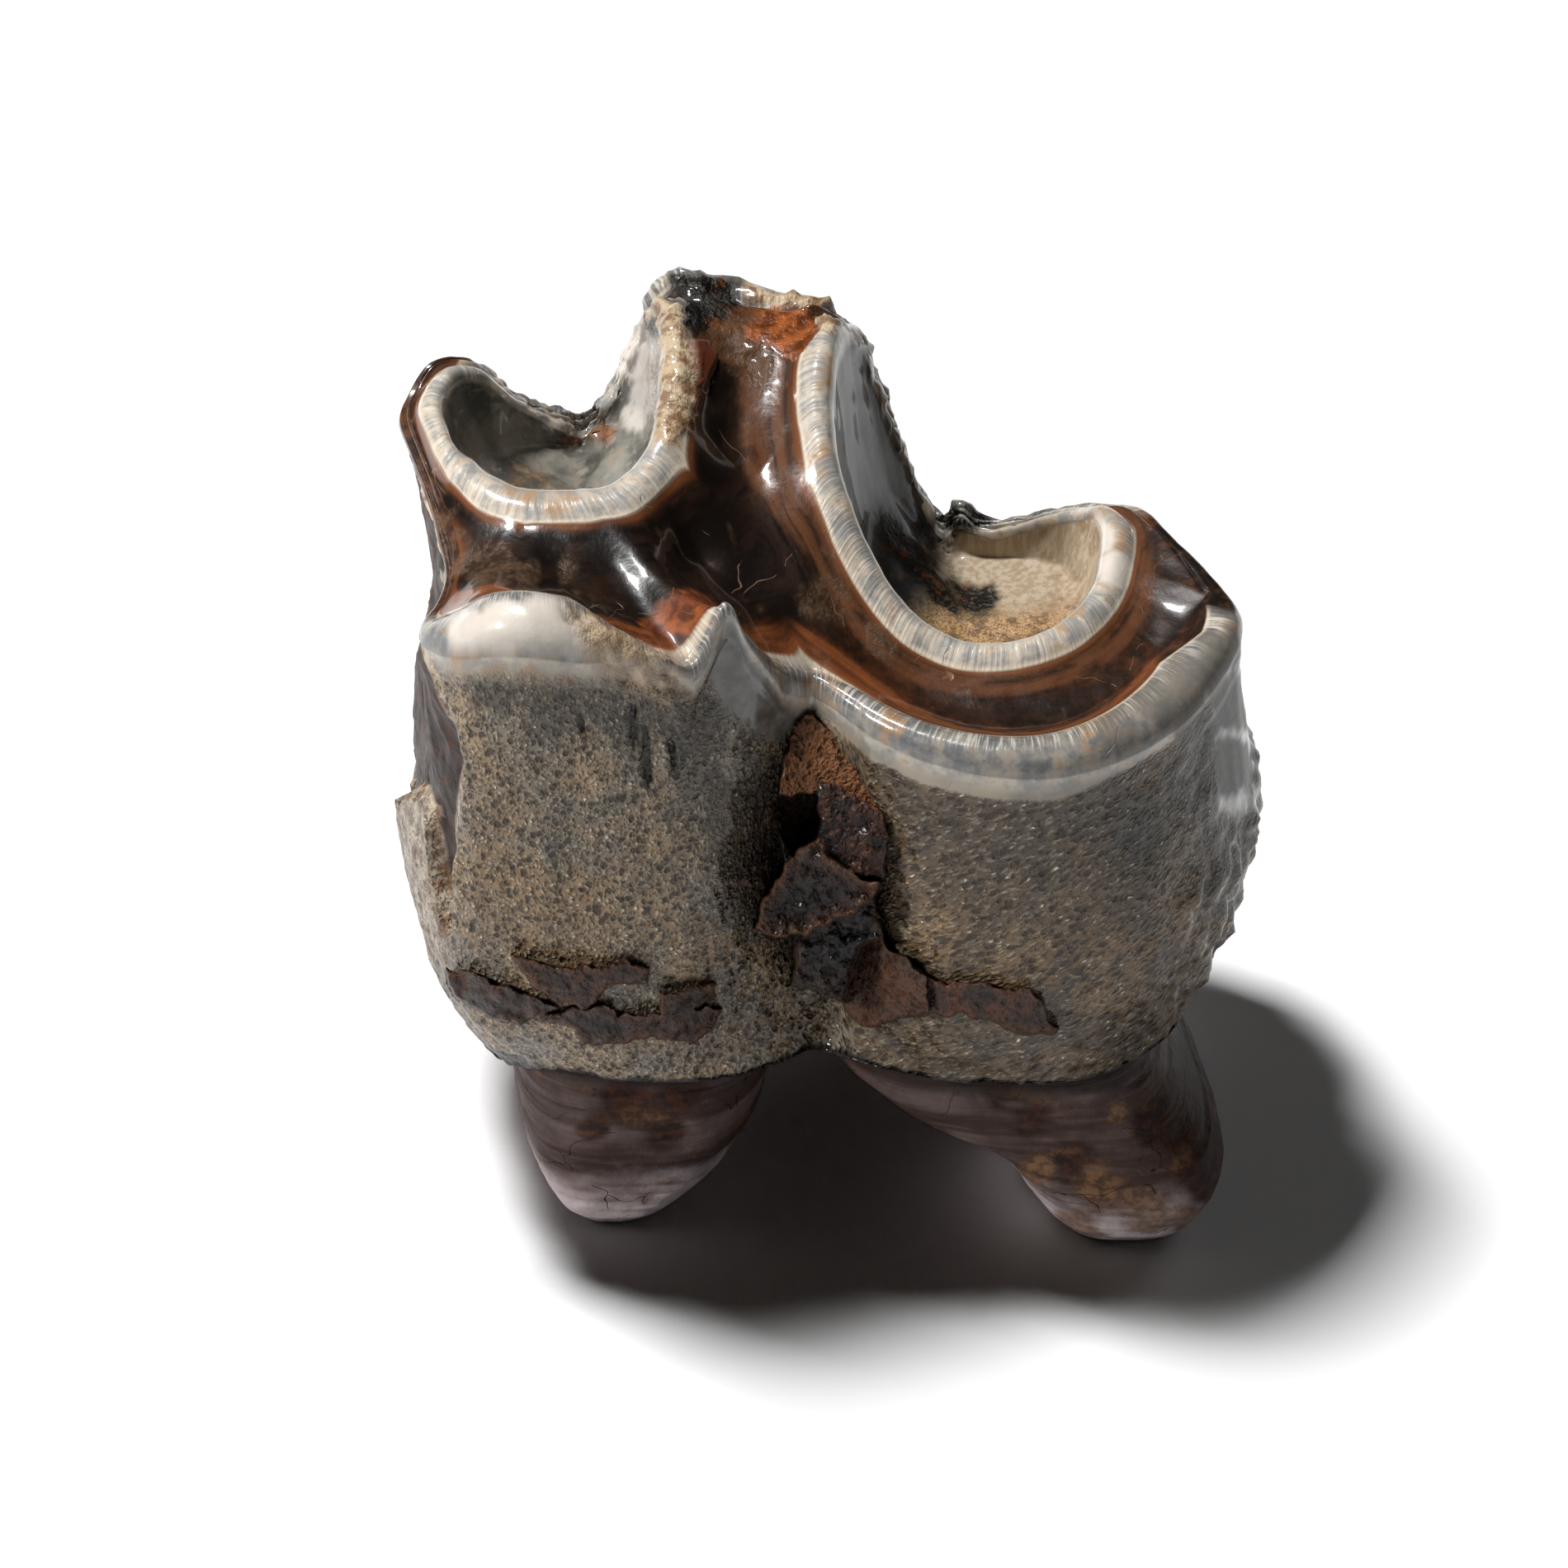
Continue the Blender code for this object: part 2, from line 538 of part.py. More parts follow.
def build_tooth():
    """Make the crown, unite it with its roots and crust, and put it in its collection."""
    clear_scene()
    collection = bpy.data.collections.new("fossil woolly rhino tooth")
    bpy.context.scene.collection.children.link(collection)
    tooth = make_crown()
    tooth.name = NAME
    collection.objects.link(tooth)
    roots = (("left root", LEFT_ROOT, LEFT_SKEW), ("right root", RIGHT_ROOT, RIGHT_SKEW))
    for name, rings, skew in roots:
        shape = (ROOT_COLUMNS, ROOT_ROWS, ROOT_SQUARENESS, GROWTH_RINGS, skew)
        join(tooth, make_stack(name, rings, *shape))
    for name, rings, rows in (("groove crust", GROOVE_CRUST, CRUST_ROWS), ("flake", FLAKE, FLAKE_ROWS)):
        join(tooth, make_stack(name, rings, CRUST_COLUMNS, rows, lumps=CRUST_LUMPS))
    tooth.data.materials.clear()
    tooth.data.materials.append(tooth_material())
    tooth.data.shade_smooth()
    tooth.data.set_sharp_from_angle(angle=math.radians(50))


build_tooth()
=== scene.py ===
"""Looks of a fossil lower cheek tooth of a woolly rhinoceros, standing on its two roots.

+X runs along the jaw, -Y faces the cheek and +Z is the chewing side. The tables are in
millimetres from the middle of the footprint that they were drawn on, and finished meshes
are in metres. Each surface is a grid of two parameters, worked out as whole arrays. What
the photograph shows at one place only is given by its place in the camera's picture, a
square 1900 units wide.
"""

import itertools
import math

import bpy
import numpy as np
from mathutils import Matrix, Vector


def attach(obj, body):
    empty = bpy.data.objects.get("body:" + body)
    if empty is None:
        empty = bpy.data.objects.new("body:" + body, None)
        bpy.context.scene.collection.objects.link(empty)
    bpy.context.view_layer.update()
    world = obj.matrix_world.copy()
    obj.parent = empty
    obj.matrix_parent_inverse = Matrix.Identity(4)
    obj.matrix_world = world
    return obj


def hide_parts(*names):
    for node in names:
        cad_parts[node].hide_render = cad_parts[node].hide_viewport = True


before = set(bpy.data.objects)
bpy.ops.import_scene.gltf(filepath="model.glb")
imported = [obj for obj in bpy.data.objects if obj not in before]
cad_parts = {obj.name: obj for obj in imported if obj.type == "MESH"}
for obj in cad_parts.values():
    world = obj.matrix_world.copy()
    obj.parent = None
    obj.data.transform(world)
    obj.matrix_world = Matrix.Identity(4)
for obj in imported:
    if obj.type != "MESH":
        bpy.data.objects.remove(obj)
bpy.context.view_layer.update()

MM = 0.001
MIDDLE = np.array([2.43, -0.05, 0.0])

# The camera, in millimetres: it looks down at the cheek side from 45 degrees
PICTURE = 1900
PICTURE_MIDDLE = 950.0
CAMERA_AIM = np.array([0.0, 0.0, 24.0])
CAMERA_AWAY = 450.0
CAMERA_TILT = math.radians(45)
UNITS_PER_MM = 20.2
SENSOR = 36.0
TOWARDS_CAMERA = np.array([0.0, -math.cos(CAMERA_TILT), math.sin(CAMERA_TILT)])
CAMERA_BACK = CAMERA_AWAY * TOWARDS_CAMERA

# Crown values
AXIS = np.array([2.5, 0.0])
RIM_WIDTH = 2.2
SHOULDER = 1.0
BARE_SHOULDER = 0.35
CREST_AT = 0.42
FOOT = 0.8
BARE_MIDDLE = 0.22
DEEPEST_DISH = 2.0
CERVIX = 14.2
LOW_CERVIX = 11.8
BELLY = 26.0
BROKEN_ENAMEL = 1.5
BROKEN_SHOULDER = 1.7
FRONT_MEETING = (-1.4, -2.0, 45.6)
BACK_MEETING = (-2.0, 11.4, 51.2)
MEETING_LENGTH = 9.0
LEAN_TO_MIDDLE = 0.7
EVENED_LENGTH = 4.0
EVENED_TURNS = 1.6

# How finely the crown is divided
LEFT_COLUMNS = 300
RIGHT_COLUMNS = 250
RIDGE_COLUMNS = 56
FRONT_CROWDING = 1.3
WALL_ROWS = 84
RIM_ROWS = 10
DISH_ROWS = 14
PIT_ROWS = 30

# The left dentine band, from the groove round the left end to the back of the cusp:
# outer edge x, y, z, then basin edge x, y, z, then the share of enamel left outside
LEFT_BAND = (
    (1.6, -9.4, 41.8, -7.9, 1.6, 50.8, 1.0),
    (1.0, -9.7, 42.3, -8.6, 0.5, 50.3, 1.0),
    (0.2, -10.1, 43.2, -9.4, -0.4, 50.1, 1.0),
    (-0.6, -10.9, 44.9, -10.3, -1.1, 50.0, 1.0),
    (-2.0, -11.8, 47.6, -11.1, -1.2, 49.9, 1.0),
    (-3.2, -12.0, 50.1, -11.7, -1.2, 49.9, 1.0),
    (-4.9, -13.4, 46.9, -12.2, -1.3, 49.9, 1.0),
    (-6.3, -14.2, 47.9, -12.8, -1.3, 49.9, 1.0),
    (-8.4, -14.6, 49.3, -13.3, -1.3, 49.9, 1.0),
    (-11.0, -14.9, 50.7, -13.8, -1.3, 49.9, 1.0),
    (-14.4, -15.3, 51.7, -14.3, -1.3, 49.9, 1.0),
    (-17.4, -14.6, 51.0, -14.8, -1.2, 49.9, 1.0),
    (-19.5, -12.9, 49.0, -15.3, -1.0, 49.9, 1.0),
    (-20.8, -10.6, 47.2, -15.8, -0.7, 49.9, 0.8),
    (-19.9, -8.3, 47.0, -16.4, -0.3, 49.9, 0.0),
    (-19.4, -6.0, 47.2, -17.1, 0.3, 49.9, 0.0),
    (-19.9, -3.2, 47.6, -17.8, 1.2, 49.9, 0.0),
    (-20.6, -0.4, 48.0, -18.8, 2.0, 49.9, 0.0),
    (-21.6, 2.6, 48.4, -19.4, 3.5, 50.0, 0.0),
    (-22.4, 5.4, 48.7, -19.7, 5.0, 50.0, 0.0),
    (-21.9, 7.4, 49.0, -19.6, 6.6, 50.0, 0.0),
    (-20.6, 9.0, 50.0, -18.9, 7.9, 50.1, 0.0),
    (-18.4, 10.0, 49.3, -17.4, 8.6, 49.2, 0.3),
    (-16.4, 11.0, 46.4, -15.9, 9.6, 46.4, 1.0),
    (-14.4, 11.9, 44.2, -14.1, 10.5, 44.2, 1.0),
    (-12.9, 12.6, 42.9, -12.8, 11.2, 42.8, 1.0),
    (-11.8, 13.2, 42.0, -11.8, 11.8, 41.9, 1.0),
    (-10.6, 13.9, 43.4, -10.4, 12.5, 43.4, 1.0),
    (-9.2, 14.8, 46.4, -9.1, 13.0, 46.4, 1.0),
    (-7.9, 15.4, 50.0, -8.0, 13.0, 50.0, 1.0),
    (-6.2, 15.6, 51.9, -7.5, 11.6, 52.2, 1.0),
    (-2.0, 15.0, 51.0, -7.3, 9.6, 53.0, 1.0),
)

# The right dentine band, from the groove round the right end to the back of the cusp
RIGHT_BAND = (
    (1.6, -9.4, 41.8, 3.2, 2.2, 49.2, 1.0),
    (2.0, -9.7, 41.8, 3.9, 0.3, 47.6, 1.0),
    (2.4, -10.1, 41.8, 4.9, -1.3, 45.7, 1.0),
    (3.0, -10.7, 41.8, 6.2, -2.7, 43.8, 1.0),
    (3.9, -11.5, 41.7, 7.8, -3.9, 42.3, 1.0),
    (5.4, -12.8, 41.6, 9.4, -4.5, 41.4, 1.0),
    (8.0, -14.3, 41.5, 10.9, -4.8, 41.0, 1.0),
    (11.6, -15.4, 41.4, 12.6, -4.7, 40.9, 1.0),
    (15.6, -15.4, 41.3, 14.2, -4.2, 40.9, 1.0),
    (19.6, -13.8, 41.3, 15.7, -3.3, 40.9, 1.0),
    (23.0, -11.0, 41.4, 16.8, -2.1, 41.0, 1.0),
    (25.4, -7.4, 41.6, 17.6, -0.7, 41.0, 1.0),
    (26.6, -4.2, 41.4, 18.1, 0.8, 41.0, 0.7),
    (26.3, -1.8, 40.9, 18.4, 2.3, 41.1, 0.0),
    (24.7, 1.2, 40.8, 18.6, 3.8, 41.1, 0.0),
    (22.9, 4.1, 40.6, 18.6, 5.2, 41.0, 0.0),
    (21.4, 6.9, 40.2, 18.3, 6.7, 40.4, 0.6),
    (19.7, 9.0, 38.8, 17.4, 7.9, 38.9, 1.0),
    (17.2, 10.2, 37.7, 15.7, 8.8, 37.6, 1.0),
    (14.6, 10.6, 36.5, 13.8, 9.2, 36.4, 1.0),
    (12.2, 10.8, 35.9, 11.9, 9.4, 35.8, 1.0),
    (10.4, 11.3, 36.6, 10.5, 9.9, 36.5, 1.0),
    (9.3, 12.4, 34.4, 9.4, 11.0, 34.2, 1.0),
    (8.2, 13.4, 36.2, 8.2, 12.0, 36.2, 1.0),
    (6.8, 14.0, 40.6, 6.9, 12.4, 40.6, 1.0),
    (5.3, 14.2, 45.2, 5.5, 12.4, 45.2, 1.0),
    (4.0, 14.0, 48.8, 4.5, 12.2, 49.0, 1.0),
    (2.0, 14.2, 50.6, 3.8, 10.6, 51.6, 1.0),
    (-2.0, 15.0, 51.0, 3.3, 8.6, 52.2, 1.0),
)

# The ridge between the basins: left basin edge x, y, z, then right basin edge x, y, z
RIDGE = (
    (-7.9, 1.6, 50.8, 3.2, 2.2, 49.2),
    (-7.5, 3.4, 51.6, 2.9, 4.2, 50.4),
    (-7.3, 5.6, 52.3, 2.9, 5.8, 51.5),
    (-7.2, 7.7, 52.8, 3.0, 7.2, 52.1),
    (-7.3, 9.6, 53.0, 3.3, 8.6, 52.2),
)

# The outer enamel rim along each band: row of the band, width, drop outside the crest,
# drop inside it, and where the crest lies across the width
LEFT_RIM = (
    (0.0, 1.3, 1.2, 0.5, 0.42),
    (2.4, 1.9, 1.9, 0.6, 0.35),
    (3.6, 1.0, 0.9, 0.3, 0.42),
    (4.4, 0.7, 0.5, 0.2, 0.42),
    (5.5, 0.8, 0.6, 0.3, 0.42),
    (7.0, 1.2, 0.8, 0.4, 0.42),
    (8.4, 2.2, 1.6, 0.5, 0.55),
    (9.2, 3.3, 2.3, 0.3, 0.72),
    (11.3, 3.3, 2.3, 0.3, 0.72),
    (12.4, 2.4, 1.4, 0.3, 0.60),
    (13.4, 1.2, 0.6, 0.4, 0.42),
    (22.0, 2.2, 1.0, 0.8, 0.42),
    (31.0, 2.2, 1.0, 0.8, 0.42),
)
RIGHT_RIM = (
    (0.0, 1.3, 1.2, 0.5, 0.42),
    (3.0, 1.7, 1.1, 0.6, 0.42),
    (6.0, 2.3, 1.3, 0.6, 0.48),
    (8.5, 2.9, 1.4, 0.5, 0.52),
    (10.4, 3.5, 1.4, 0.5, 0.52),
    (11.5, 2.3, 1.2, 0.6, 0.48),
    (28.0, 2.2, 1.0, 0.8, 0.42),
)
LEFT_BASIN_RIM = (
    (0.0, 2.2, 1.0, 0.8, 0.42),
    (4.0, 3.0, 1.0, 0.8, 0.45),
    (14.0, 2.9, 1.0, 0.8, 0.45),
    (20.0, 2.2, 1.0, 0.8, 0.42),
    (31.0, 2.2, 1.0, 0.8, 0.42),
)
PLAIN_RIM = ((0.0, RIM_WIDTH, SHOULDER, FOOT, CREST_AT),)
OUTER_FADING = 9
RIM_FADING = 5

# Outlines of the crown from above, x and y: at its widest and at the neck
BELLY_OUTLINE = (
    (2.0, -9.4), (4.0, -10.8), (5.8, -13.6), (8.8, -15.8), (13.0, -16.7), (17.5, -16.2),
    (22.2, -14.0), (25.6, -10.2), (27.6, -5.6), (28.3, -0.5), (27.4, 4.2), (24.6, 8.4),
    (20.5, 11.2), (15.0, 12.4), (11.0, 12.6), (8.4, 13.8), (5.0, 15.6), (0.5, 16.8),
    (-4.5, 16.8), (-8.5, 15.7), (-11.6, 13.9), (-15.0, 13.0), (-19.0, 11.2), (-22.2, 7.0),
    (-23.4, 1.5), (-23.0, -4.0), (-21.7, -9.5), (-19.2, -14.2), (-15.0, -16.0),
    (-10.0, -16.4), (-5.0, -15.4), (-1.6, -12.9), (0.2, -10.6),
)
NECK_OUTLINE = (
    (2.0, -12.8), (5.4, -14.2), (9.0, -15.2), (13.0, -15.6), (17.2, -15.3), (20.6, -13.8),
    (23.4, -11.0), (25.0, -6.0), (25.6, 0.0), (23.9, 6.0), (19.5, 10.0), (12.0, 11.0),
    (7.0, 12.6), (1.0, 14.0), (-5.0, 14.0), (-11.0, 12.2), (-16.0, 10.2), (-19.6, 6.5),
    (-21.0, 0.0), (-19.8, -6.0), (-17.6, -11.0), (-14.6, -13.7), (-10.0, -15.2),
    (-4.4, -15.3), (-0.8, -14.2),
)

# Basin floors: centre x, y, z, then half-lengths along X and Y
LEFT_FLOOR = (-12.4, 6.4, 41.2, 3.4, 4.4)
RIGHT_FLOOR = (11.6, 4.4, 33.2, 4.6, 5.0)

# The broken left end: the angles about the crown's axis where it goes round the corner,
# and its lower border behind, which rises from a height at a depth y
BREAK_FRONT = -2.9
BREAK_LIMIT = -2.2
BREAK_BACK = 2.65
HIDDEN_CHIP = 19.6
HIDDEN_RISE = 6.5
CORNER_DEPTH = 3.0
LEFT_END = -15.0

# Roots, from inside the crown to the foot: height, centre x, y, half-lengths along X and Y
LEFT_ROOT = (
    (17.0, -8.8, -1.0, 7.6, 12.0),
    (12.5, -8.8, -1.2, 8.1, 12.6),
    (8.0, -8.9, -1.6, 7.9, 12.6),
    (4.0, -9.5, -2.0, 6.8, 12.4),
    (1.4, -10.2, -2.4, 4.9, 12.0),
    (0.3, -10.5, -2.6, 3.0, 11.4),
    (0.0, -10.7, -2.6, 2.2, 11.0),
)
RIGHT_ROOT = (
    (17.0, 12.8, -2.0, 9.4, 12.0),
    (13.0, 13.2, -2.0, 10.4, 12.6),
    (9.5, 15.4, -2.4, 9.9, 12.9),
    (6.5, 19.2, -2.8, 7.9, 13.1),
    (4.0, 20.7, -3.2, 7.1, 13.0),
    (1.4, 20.7, -3.6, 5.6, 12.5),
    (0.3, 20.3, -3.8, 4.2, 11.7),
    (0.0, 20.2, -3.8, 3.4, 11.2),
)
ROOT_FRONT = -14.5
LEFT_SKEW = 0.04
RIGHT_SKEW = -0.24
ROOT_SQUARENESS = 3.4
ROOT_COLUMNS = 240
ROOT_ROWS = 150

# Lines and outlines in the camera's picture
FRACTURE_LINE = (
    (700, 503), (752, 506), (765, 510), (800, 530), (850, 545), (880, 556), (925, 562),
    (980, 556), (1040, 549), (1140, 545), (1200, 540),
)
LEFT_BORDER = (
    (470, 497), (500, 485), (529, 492), (583, 508), (637, 519), (695, 529), (740, 521),
    (776, 513), (830, 497), (890, 489), (915, 488), (945, 495), (965, 503), (1000, 512),
)
CHIP_OUTLINE = (
    (470, 975), (496, 962), (506, 976), (512, 990), (513, 1020), (516, 1062), (528, 1108),
    (544, 1140), (548, 1400), (420, 1400), (420, 975),
)
MARKS = {
    # The first outline is a dark stain on the cusp; the others, in the right basin's deep valley,
    # are stain and painted shade
    "stain": (
        ((806, 330), (893, 333), (896, 369), (869, 390), (845, 402), (831, 390), (829, 366),
         (806, 363)),
        ((1064, 622), (1092, 616), (1118, 632), (1132, 650), (1138, 690), (1120, 712),
         (1092, 690), (1072, 655)),
        ((1112, 700), (1140, 697), (1176, 710), (1204, 708), (1211, 726), (1196, 746),
         (1160, 750), (1128, 730)),
        ((1140, 626), (1158, 612), (1205, 616), (1216, 630), (1180, 644), (1150, 644)),
    ),
    "flaky": (
        ((1392, 640), (1440, 640), (1500, 700), (1500, 752), (1466, 764), (1446, 800),
         (1404, 806), (1398, 740)),
    ),
    "hollow": (
        ((830, 390), (900, 366), (924, 374), (906, 404), (938, 444), (926, 468), (869, 435),
         (834, 411)),
    ),
    "facet": (
        ((925, 367), (950, 370), (977, 376), (994, 396), (980, 414), (962, 436), (947, 432),
         (932, 420), (905, 405), (908, 387), (923, 379)),
    ),
    "knob": (((833, 411), (851, 414), (866, 432), (858, 450), (851, 473), (841, 452)),),
    "grainy": (
        ((893, 330), (950, 336), (1010, 350), (1026, 379), (1010, 405), (994, 399), (977, 375),
         (925, 367), (899, 366)),
        ((784, 378), (806, 358), (831, 369), (833, 414), (852, 480), (835, 520), (806, 540),
         (790, 500)),
    ),
    "glaze": (
        ((858, 812), (872, 752), (890, 748), (918, 775), (952, 792), (978, 820), (976, 862),
         (952, 905), (910, 885), (872, 858)),
        ((1466, 772), (1500, 745), (1524, 800), (1526, 900), (1520, 985), (1480, 985),
         (1468, 900)),
    ),
    "rough_rim": (
        ((684, 734), (730, 748), (765, 768), (790, 790), (822, 795), (838, 850), (800, 848),
         (766, 838), (744, 822), (712, 786)),
    ),
    "orange": (
        ((773, 757), (790, 735), (812, 718), (838, 710), (872, 732), (858, 768), (848, 792),
         (836, 796), (822, 781), (795, 773)),
    ),
    "fissure": (
        ((764, 862), (772, 862), (775, 900), (769, 914), (764, 895)),
        ((777, 880), (787, 882), (792, 950), (784, 958), (778, 930)),
        ((812, 900), (820, 902), (822, 930), (815, 934)),
        ((700, 865), (706, 865), (708, 890), (702, 892)),
    ),
    "chip": (
        ((470, 975), (496, 962), (506, 976), (512, 990), (513, 1020), (516, 1062), (528, 1108),
         (544, 1140), (530, 1162), (505, 1140), (470, 1110)),
    ),
}

# Places in the camera's picture of soft marks on the crown: across, down, radius
DUST = (
    (552, 664, 44), (590, 684, 48), (640, 694, 26), (690, 690, 22), (1000, 730, 50),
    (1070, 775, 34), (530, 640, 30),
)
# Darkest places: the dark middle of the dentine, and one small spot of painted shade in the hole
# at the notch's bottom
DARKEST = (
    (864, 470, 34), (864, 520, 36), (866, 570, 44), (868, 640, 62), (820, 660, 66),
    (740, 665, 56), (660, 668, 40), (900, 700, 60), (950, 740, 40), (780, 720, 40),
    (824, 775, 13), (500, 800, 34), (508, 860, 40),
)
# Pale spots: pale cream enamel on the front rims, and painted light on faces turned to the light,
# such as the left basin's inner right wall and the right basin's right rim
WHITEST_AND_LIT = (
    (570, 765, 44), (610, 760, 54), (655, 757, 58), (695, 775, 40), (770, 430, 50),
    (790, 480, 40), (770, 505, 26), (888, 890, 34), (892, 930, 30),
    (1330, 650, 34), (1350, 690, 34),
)
OCHRE = (
    (730, 780, 50), (765, 800, 40), (800, 830, 40), (560, 800, 30), (1000, 830, 34),
    (1080, 880, 30), (1330, 880, 40), (1290, 740, 40), (1160, 730, 40), (640, 590, 50),
    (680, 610, 40), (800, 450, 30), (815, 520, 40), (1000, 450, 30), (1005, 560, 36),
    (1340, 640, 50), (600, 1080, 110), (680, 1130, 110), (600, 1000, 60), (1130, 1130, 60),
    (1240, 1170, 70), (1350, 1180, 80), (1440, 1100, 70), (840, 1150, 60), (600, 1230, 50),
    (600, 812, 22), (645, 820, 24), (690, 828, 22),
)
# Painted shade on the wall: under the rim's bulge, on the sides turned to the groove and at the
# right end
SHADE_SPOTS = (
    (600, 830, 60), (680, 850, 80), (760, 860, 70), (840, 880, 70), (900, 950, 70),
    (910, 1040, 60), (880, 880, 60), (1380, 1000, 60), (1440, 960, 60), (1460, 880, 60),
    (1490, 1000, 60), (1480, 1080, 50), (900, 1100, 50), (890, 1000, 60),
)
CRUSTY = ((700, 508, 28), (722, 520, 24), (690, 530, 20), (738, 528, 18))
# Matte spots at the right end; the paints they lay make it darker as painted shade
DULL_AND_SHADED = (
    (1400, 850, 46), (1440, 820, 50), (1475, 790, 46), (1500, 850, 60), (1356, 880, 40),
    (1490, 930, 60), (1450, 880, 50),
)

SPOTS = {
    "dust": (DUST, 0.9),
    "white": (WHITEST_AND_LIT, 0.25),
    "ochre": (OCHRE, 0.9),
    "shade": (SHADE_SPOTS, 0.5),
    "dull": (DULL_AND_SHADED, 0.5),
    "crusty": (CRUSTY, 0.35),
}
PLAIN_SOFTNESS = 5.0
LEAST_STRAY = 4.0
MARK_SOFTNESS = {
    "flaky": 14.0, "stain": 9.0, "rough_rim": 26.0, "glaze": 16.0, "hollow": 22.0,
    "grainy": 9.0, "facet": 3.0, "fissure": 4.0,
}

# Marks on the roots in the camera's picture: across, down, radius
# Red brown spots on both roots; on the right root's right side, turned from the light, they are
# also painted shade
ROOT_RED_AND_SHADE = (
    (1440, 1320, 60), (1462, 1370, 70), (1470, 1430, 60), (1440, 1270, 40), (1400, 1370, 46),
    (1500, 1340, 60), (1250, 1360, 36), (1210, 1330, 30), (1300, 1400, 40), (760, 1330, 46),
    (830, 1320, 46), (800, 1375, 44), (720, 1365, 30),
)
ROOT_TAN = (
    (1330, 1440, 50), (1390, 1470, 50), (1300, 1490, 44), (1440, 1480, 36), (1350, 1345, 26),
    (1260, 1420, 30),
)
# Cement layers: outlines in the camera's picture, and how far each lies before the wall,
# or before the groove's bottom, which is given by places down the picture and depths y
LAYER_STEP = 1.7
LAYER_STRAY = 7.0
SUNK = 0.6
PLAIN_LAYER = {
    "in_groove": False, "lip": 0.0, "tan": 0.0, "tan_edge": 0.0, "rust": 0.0,
}
GROOVE_DEPTH = (
    (860, -9.4), (903, -10.4), (957, -12.0), (1017, -13.4), (1063, -14.2), (1106, -14.7),
    (1156, -15.3), (1211, -15.8), (1260, -15.6),
)
GROOVE_LAYERS = (
    {
        "outline": (
            (975, 885), (1040, 925), (1070, 985), (1078, 1060), (1068, 1140), (1110, 1170),
            (1125, 1215), (1065, 1240), (1010, 1205), (968, 1185), (958, 1120), (950, 1040),
            (935, 975), (945, 925),
        ),
        "in_groove": True, "offset": -1.3, "lumps": 0.5,
    },
    {
        "outline": (
            (970, 862), (984, 866), (1010, 888), (1035, 914), (1058, 950), (1076, 996),
            (1064, 1010), (1030, 985), (992, 950), (984, 962), (966, 966), (942, 960),
            (950, 915), (962, 888),
        ),
        "in_groove": True, "offset": 0.3, "lumps": 0.05, "tan": 0.85, "rust": 0.4,
    },
    {
        "outline": (
            (988, 944), (1010, 948), (1048, 968), (1076, 992), (1078, 1016), (1070, 1066),
            (1042, 1060), (1010, 1062), (992, 1020), (984, 985),
        ),
        "in_groove": True, "offset": 0.75, "lumps": 0.3, "rust": 0.55,
    },
    {
        "outline": ((944, 968), (988, 964), (994, 990), (988, 1020), (962, 1040), (948, 1010)),
        "in_groove": True, "offset": -3.4, "lumps": 0.1,
    },
    {
        "outline": (
            (968, 1128), (1000, 1110), (1058, 1078), (1070, 1140), (1060, 1180), (1040, 1206),
            (1000, 1206), (962, 1190),
        ),
        "in_groove": True, "offset": 0.1, "lumps": 0.65, "tan_edge": 0.25,
    },
    {
        "outline": (
            (990, 1016), (1006, 1040), (1040, 1062), (1066, 1072), (1052, 1096), (1012, 1116),
            (972, 1136), (938, 1136), (917, 1122), (926, 1092), (948, 1056), (968, 1030),
        ),
        "in_groove": True, "offset": 0.9, "lumps": 0.4, "lip": 0.45, "tan_edge": 0.9,
    },
    {
        "outline": (
            (1036, 1146), (1064, 1138), (1092, 1160), (1124, 1184), (1128, 1222), (1104, 1230),
            (1066, 1246), (1036, 1240), (1018, 1204),
        ),
        "offset": 1.0, "lumps": 0.3, "tan": 0.35, "rust": 0.5, "tan_edge": 0.4,
    },
)
RIGHT_FLAKES = (
    {
        "outline": (
            (1096, 1160), (1136, 1188), (1182, 1192), (1250, 1198), (1262, 1214), (1270, 1240),
            (1286, 1250), (1240, 1257), (1208, 1240), (1150, 1228), (1096, 1232),
        ),
        "offset": 0.5, "lumps": 0.3, "rust": 0.8, "tan_edge": 0.5,
    },
)
LEFT_FLAKES = (
    {
        "outline": (
            (543, 1178), (578, 1183), (607, 1192), (628, 1204), (678, 1217), (653, 1230),
            (628, 1240), (595, 1238), (566, 1222), (545, 1198),
        ),
        "offset": 0.5, "lumps": 0.5, "tan_edge": 0.3, "rust": 0.5,
    },
    {
        "outline": (
            (803, 1204), (828, 1198), (872, 1192), (864, 1212), (840, 1224), (872, 1221),
            (866, 1246), (837, 1262), (787, 1258), (745, 1264), (703, 1268), (695, 1246),
            (653, 1237), (649, 1227), (678, 1224), (745, 1217), (747, 1231), (803, 1231),
        ),
        "offset": 0.45, "lumps": 0.3, "tan_edge": 0.55, "rust": 0.5,
    },
    {
        "outline": (
            (620, 1160), (649, 1161), (678, 1173), (703, 1171), (737, 1166), (758, 1157),
            (764, 1167), (785, 1171), (785, 1192), (762, 1194), (737, 1192), (720, 1217),
            (703, 1222), (678, 1218), (653, 1197), (632, 1180),
        ),
        "offset": 0.55, "lumps": 0.3, "tan_edge": 0.6, "rust": 0.6,
    },
)
CEMENT = (
    ("groove_crust", (905, 852, 1140, 1262), GROOVE_LAYERS, 61),
    ("right_flakes", (1080, 1145, 1300, 1272), RIGHT_FLAKES, 67),
    ("left_flakes", (530, 1145, 890, 1280), LEFT_FLAKES, 73),
)


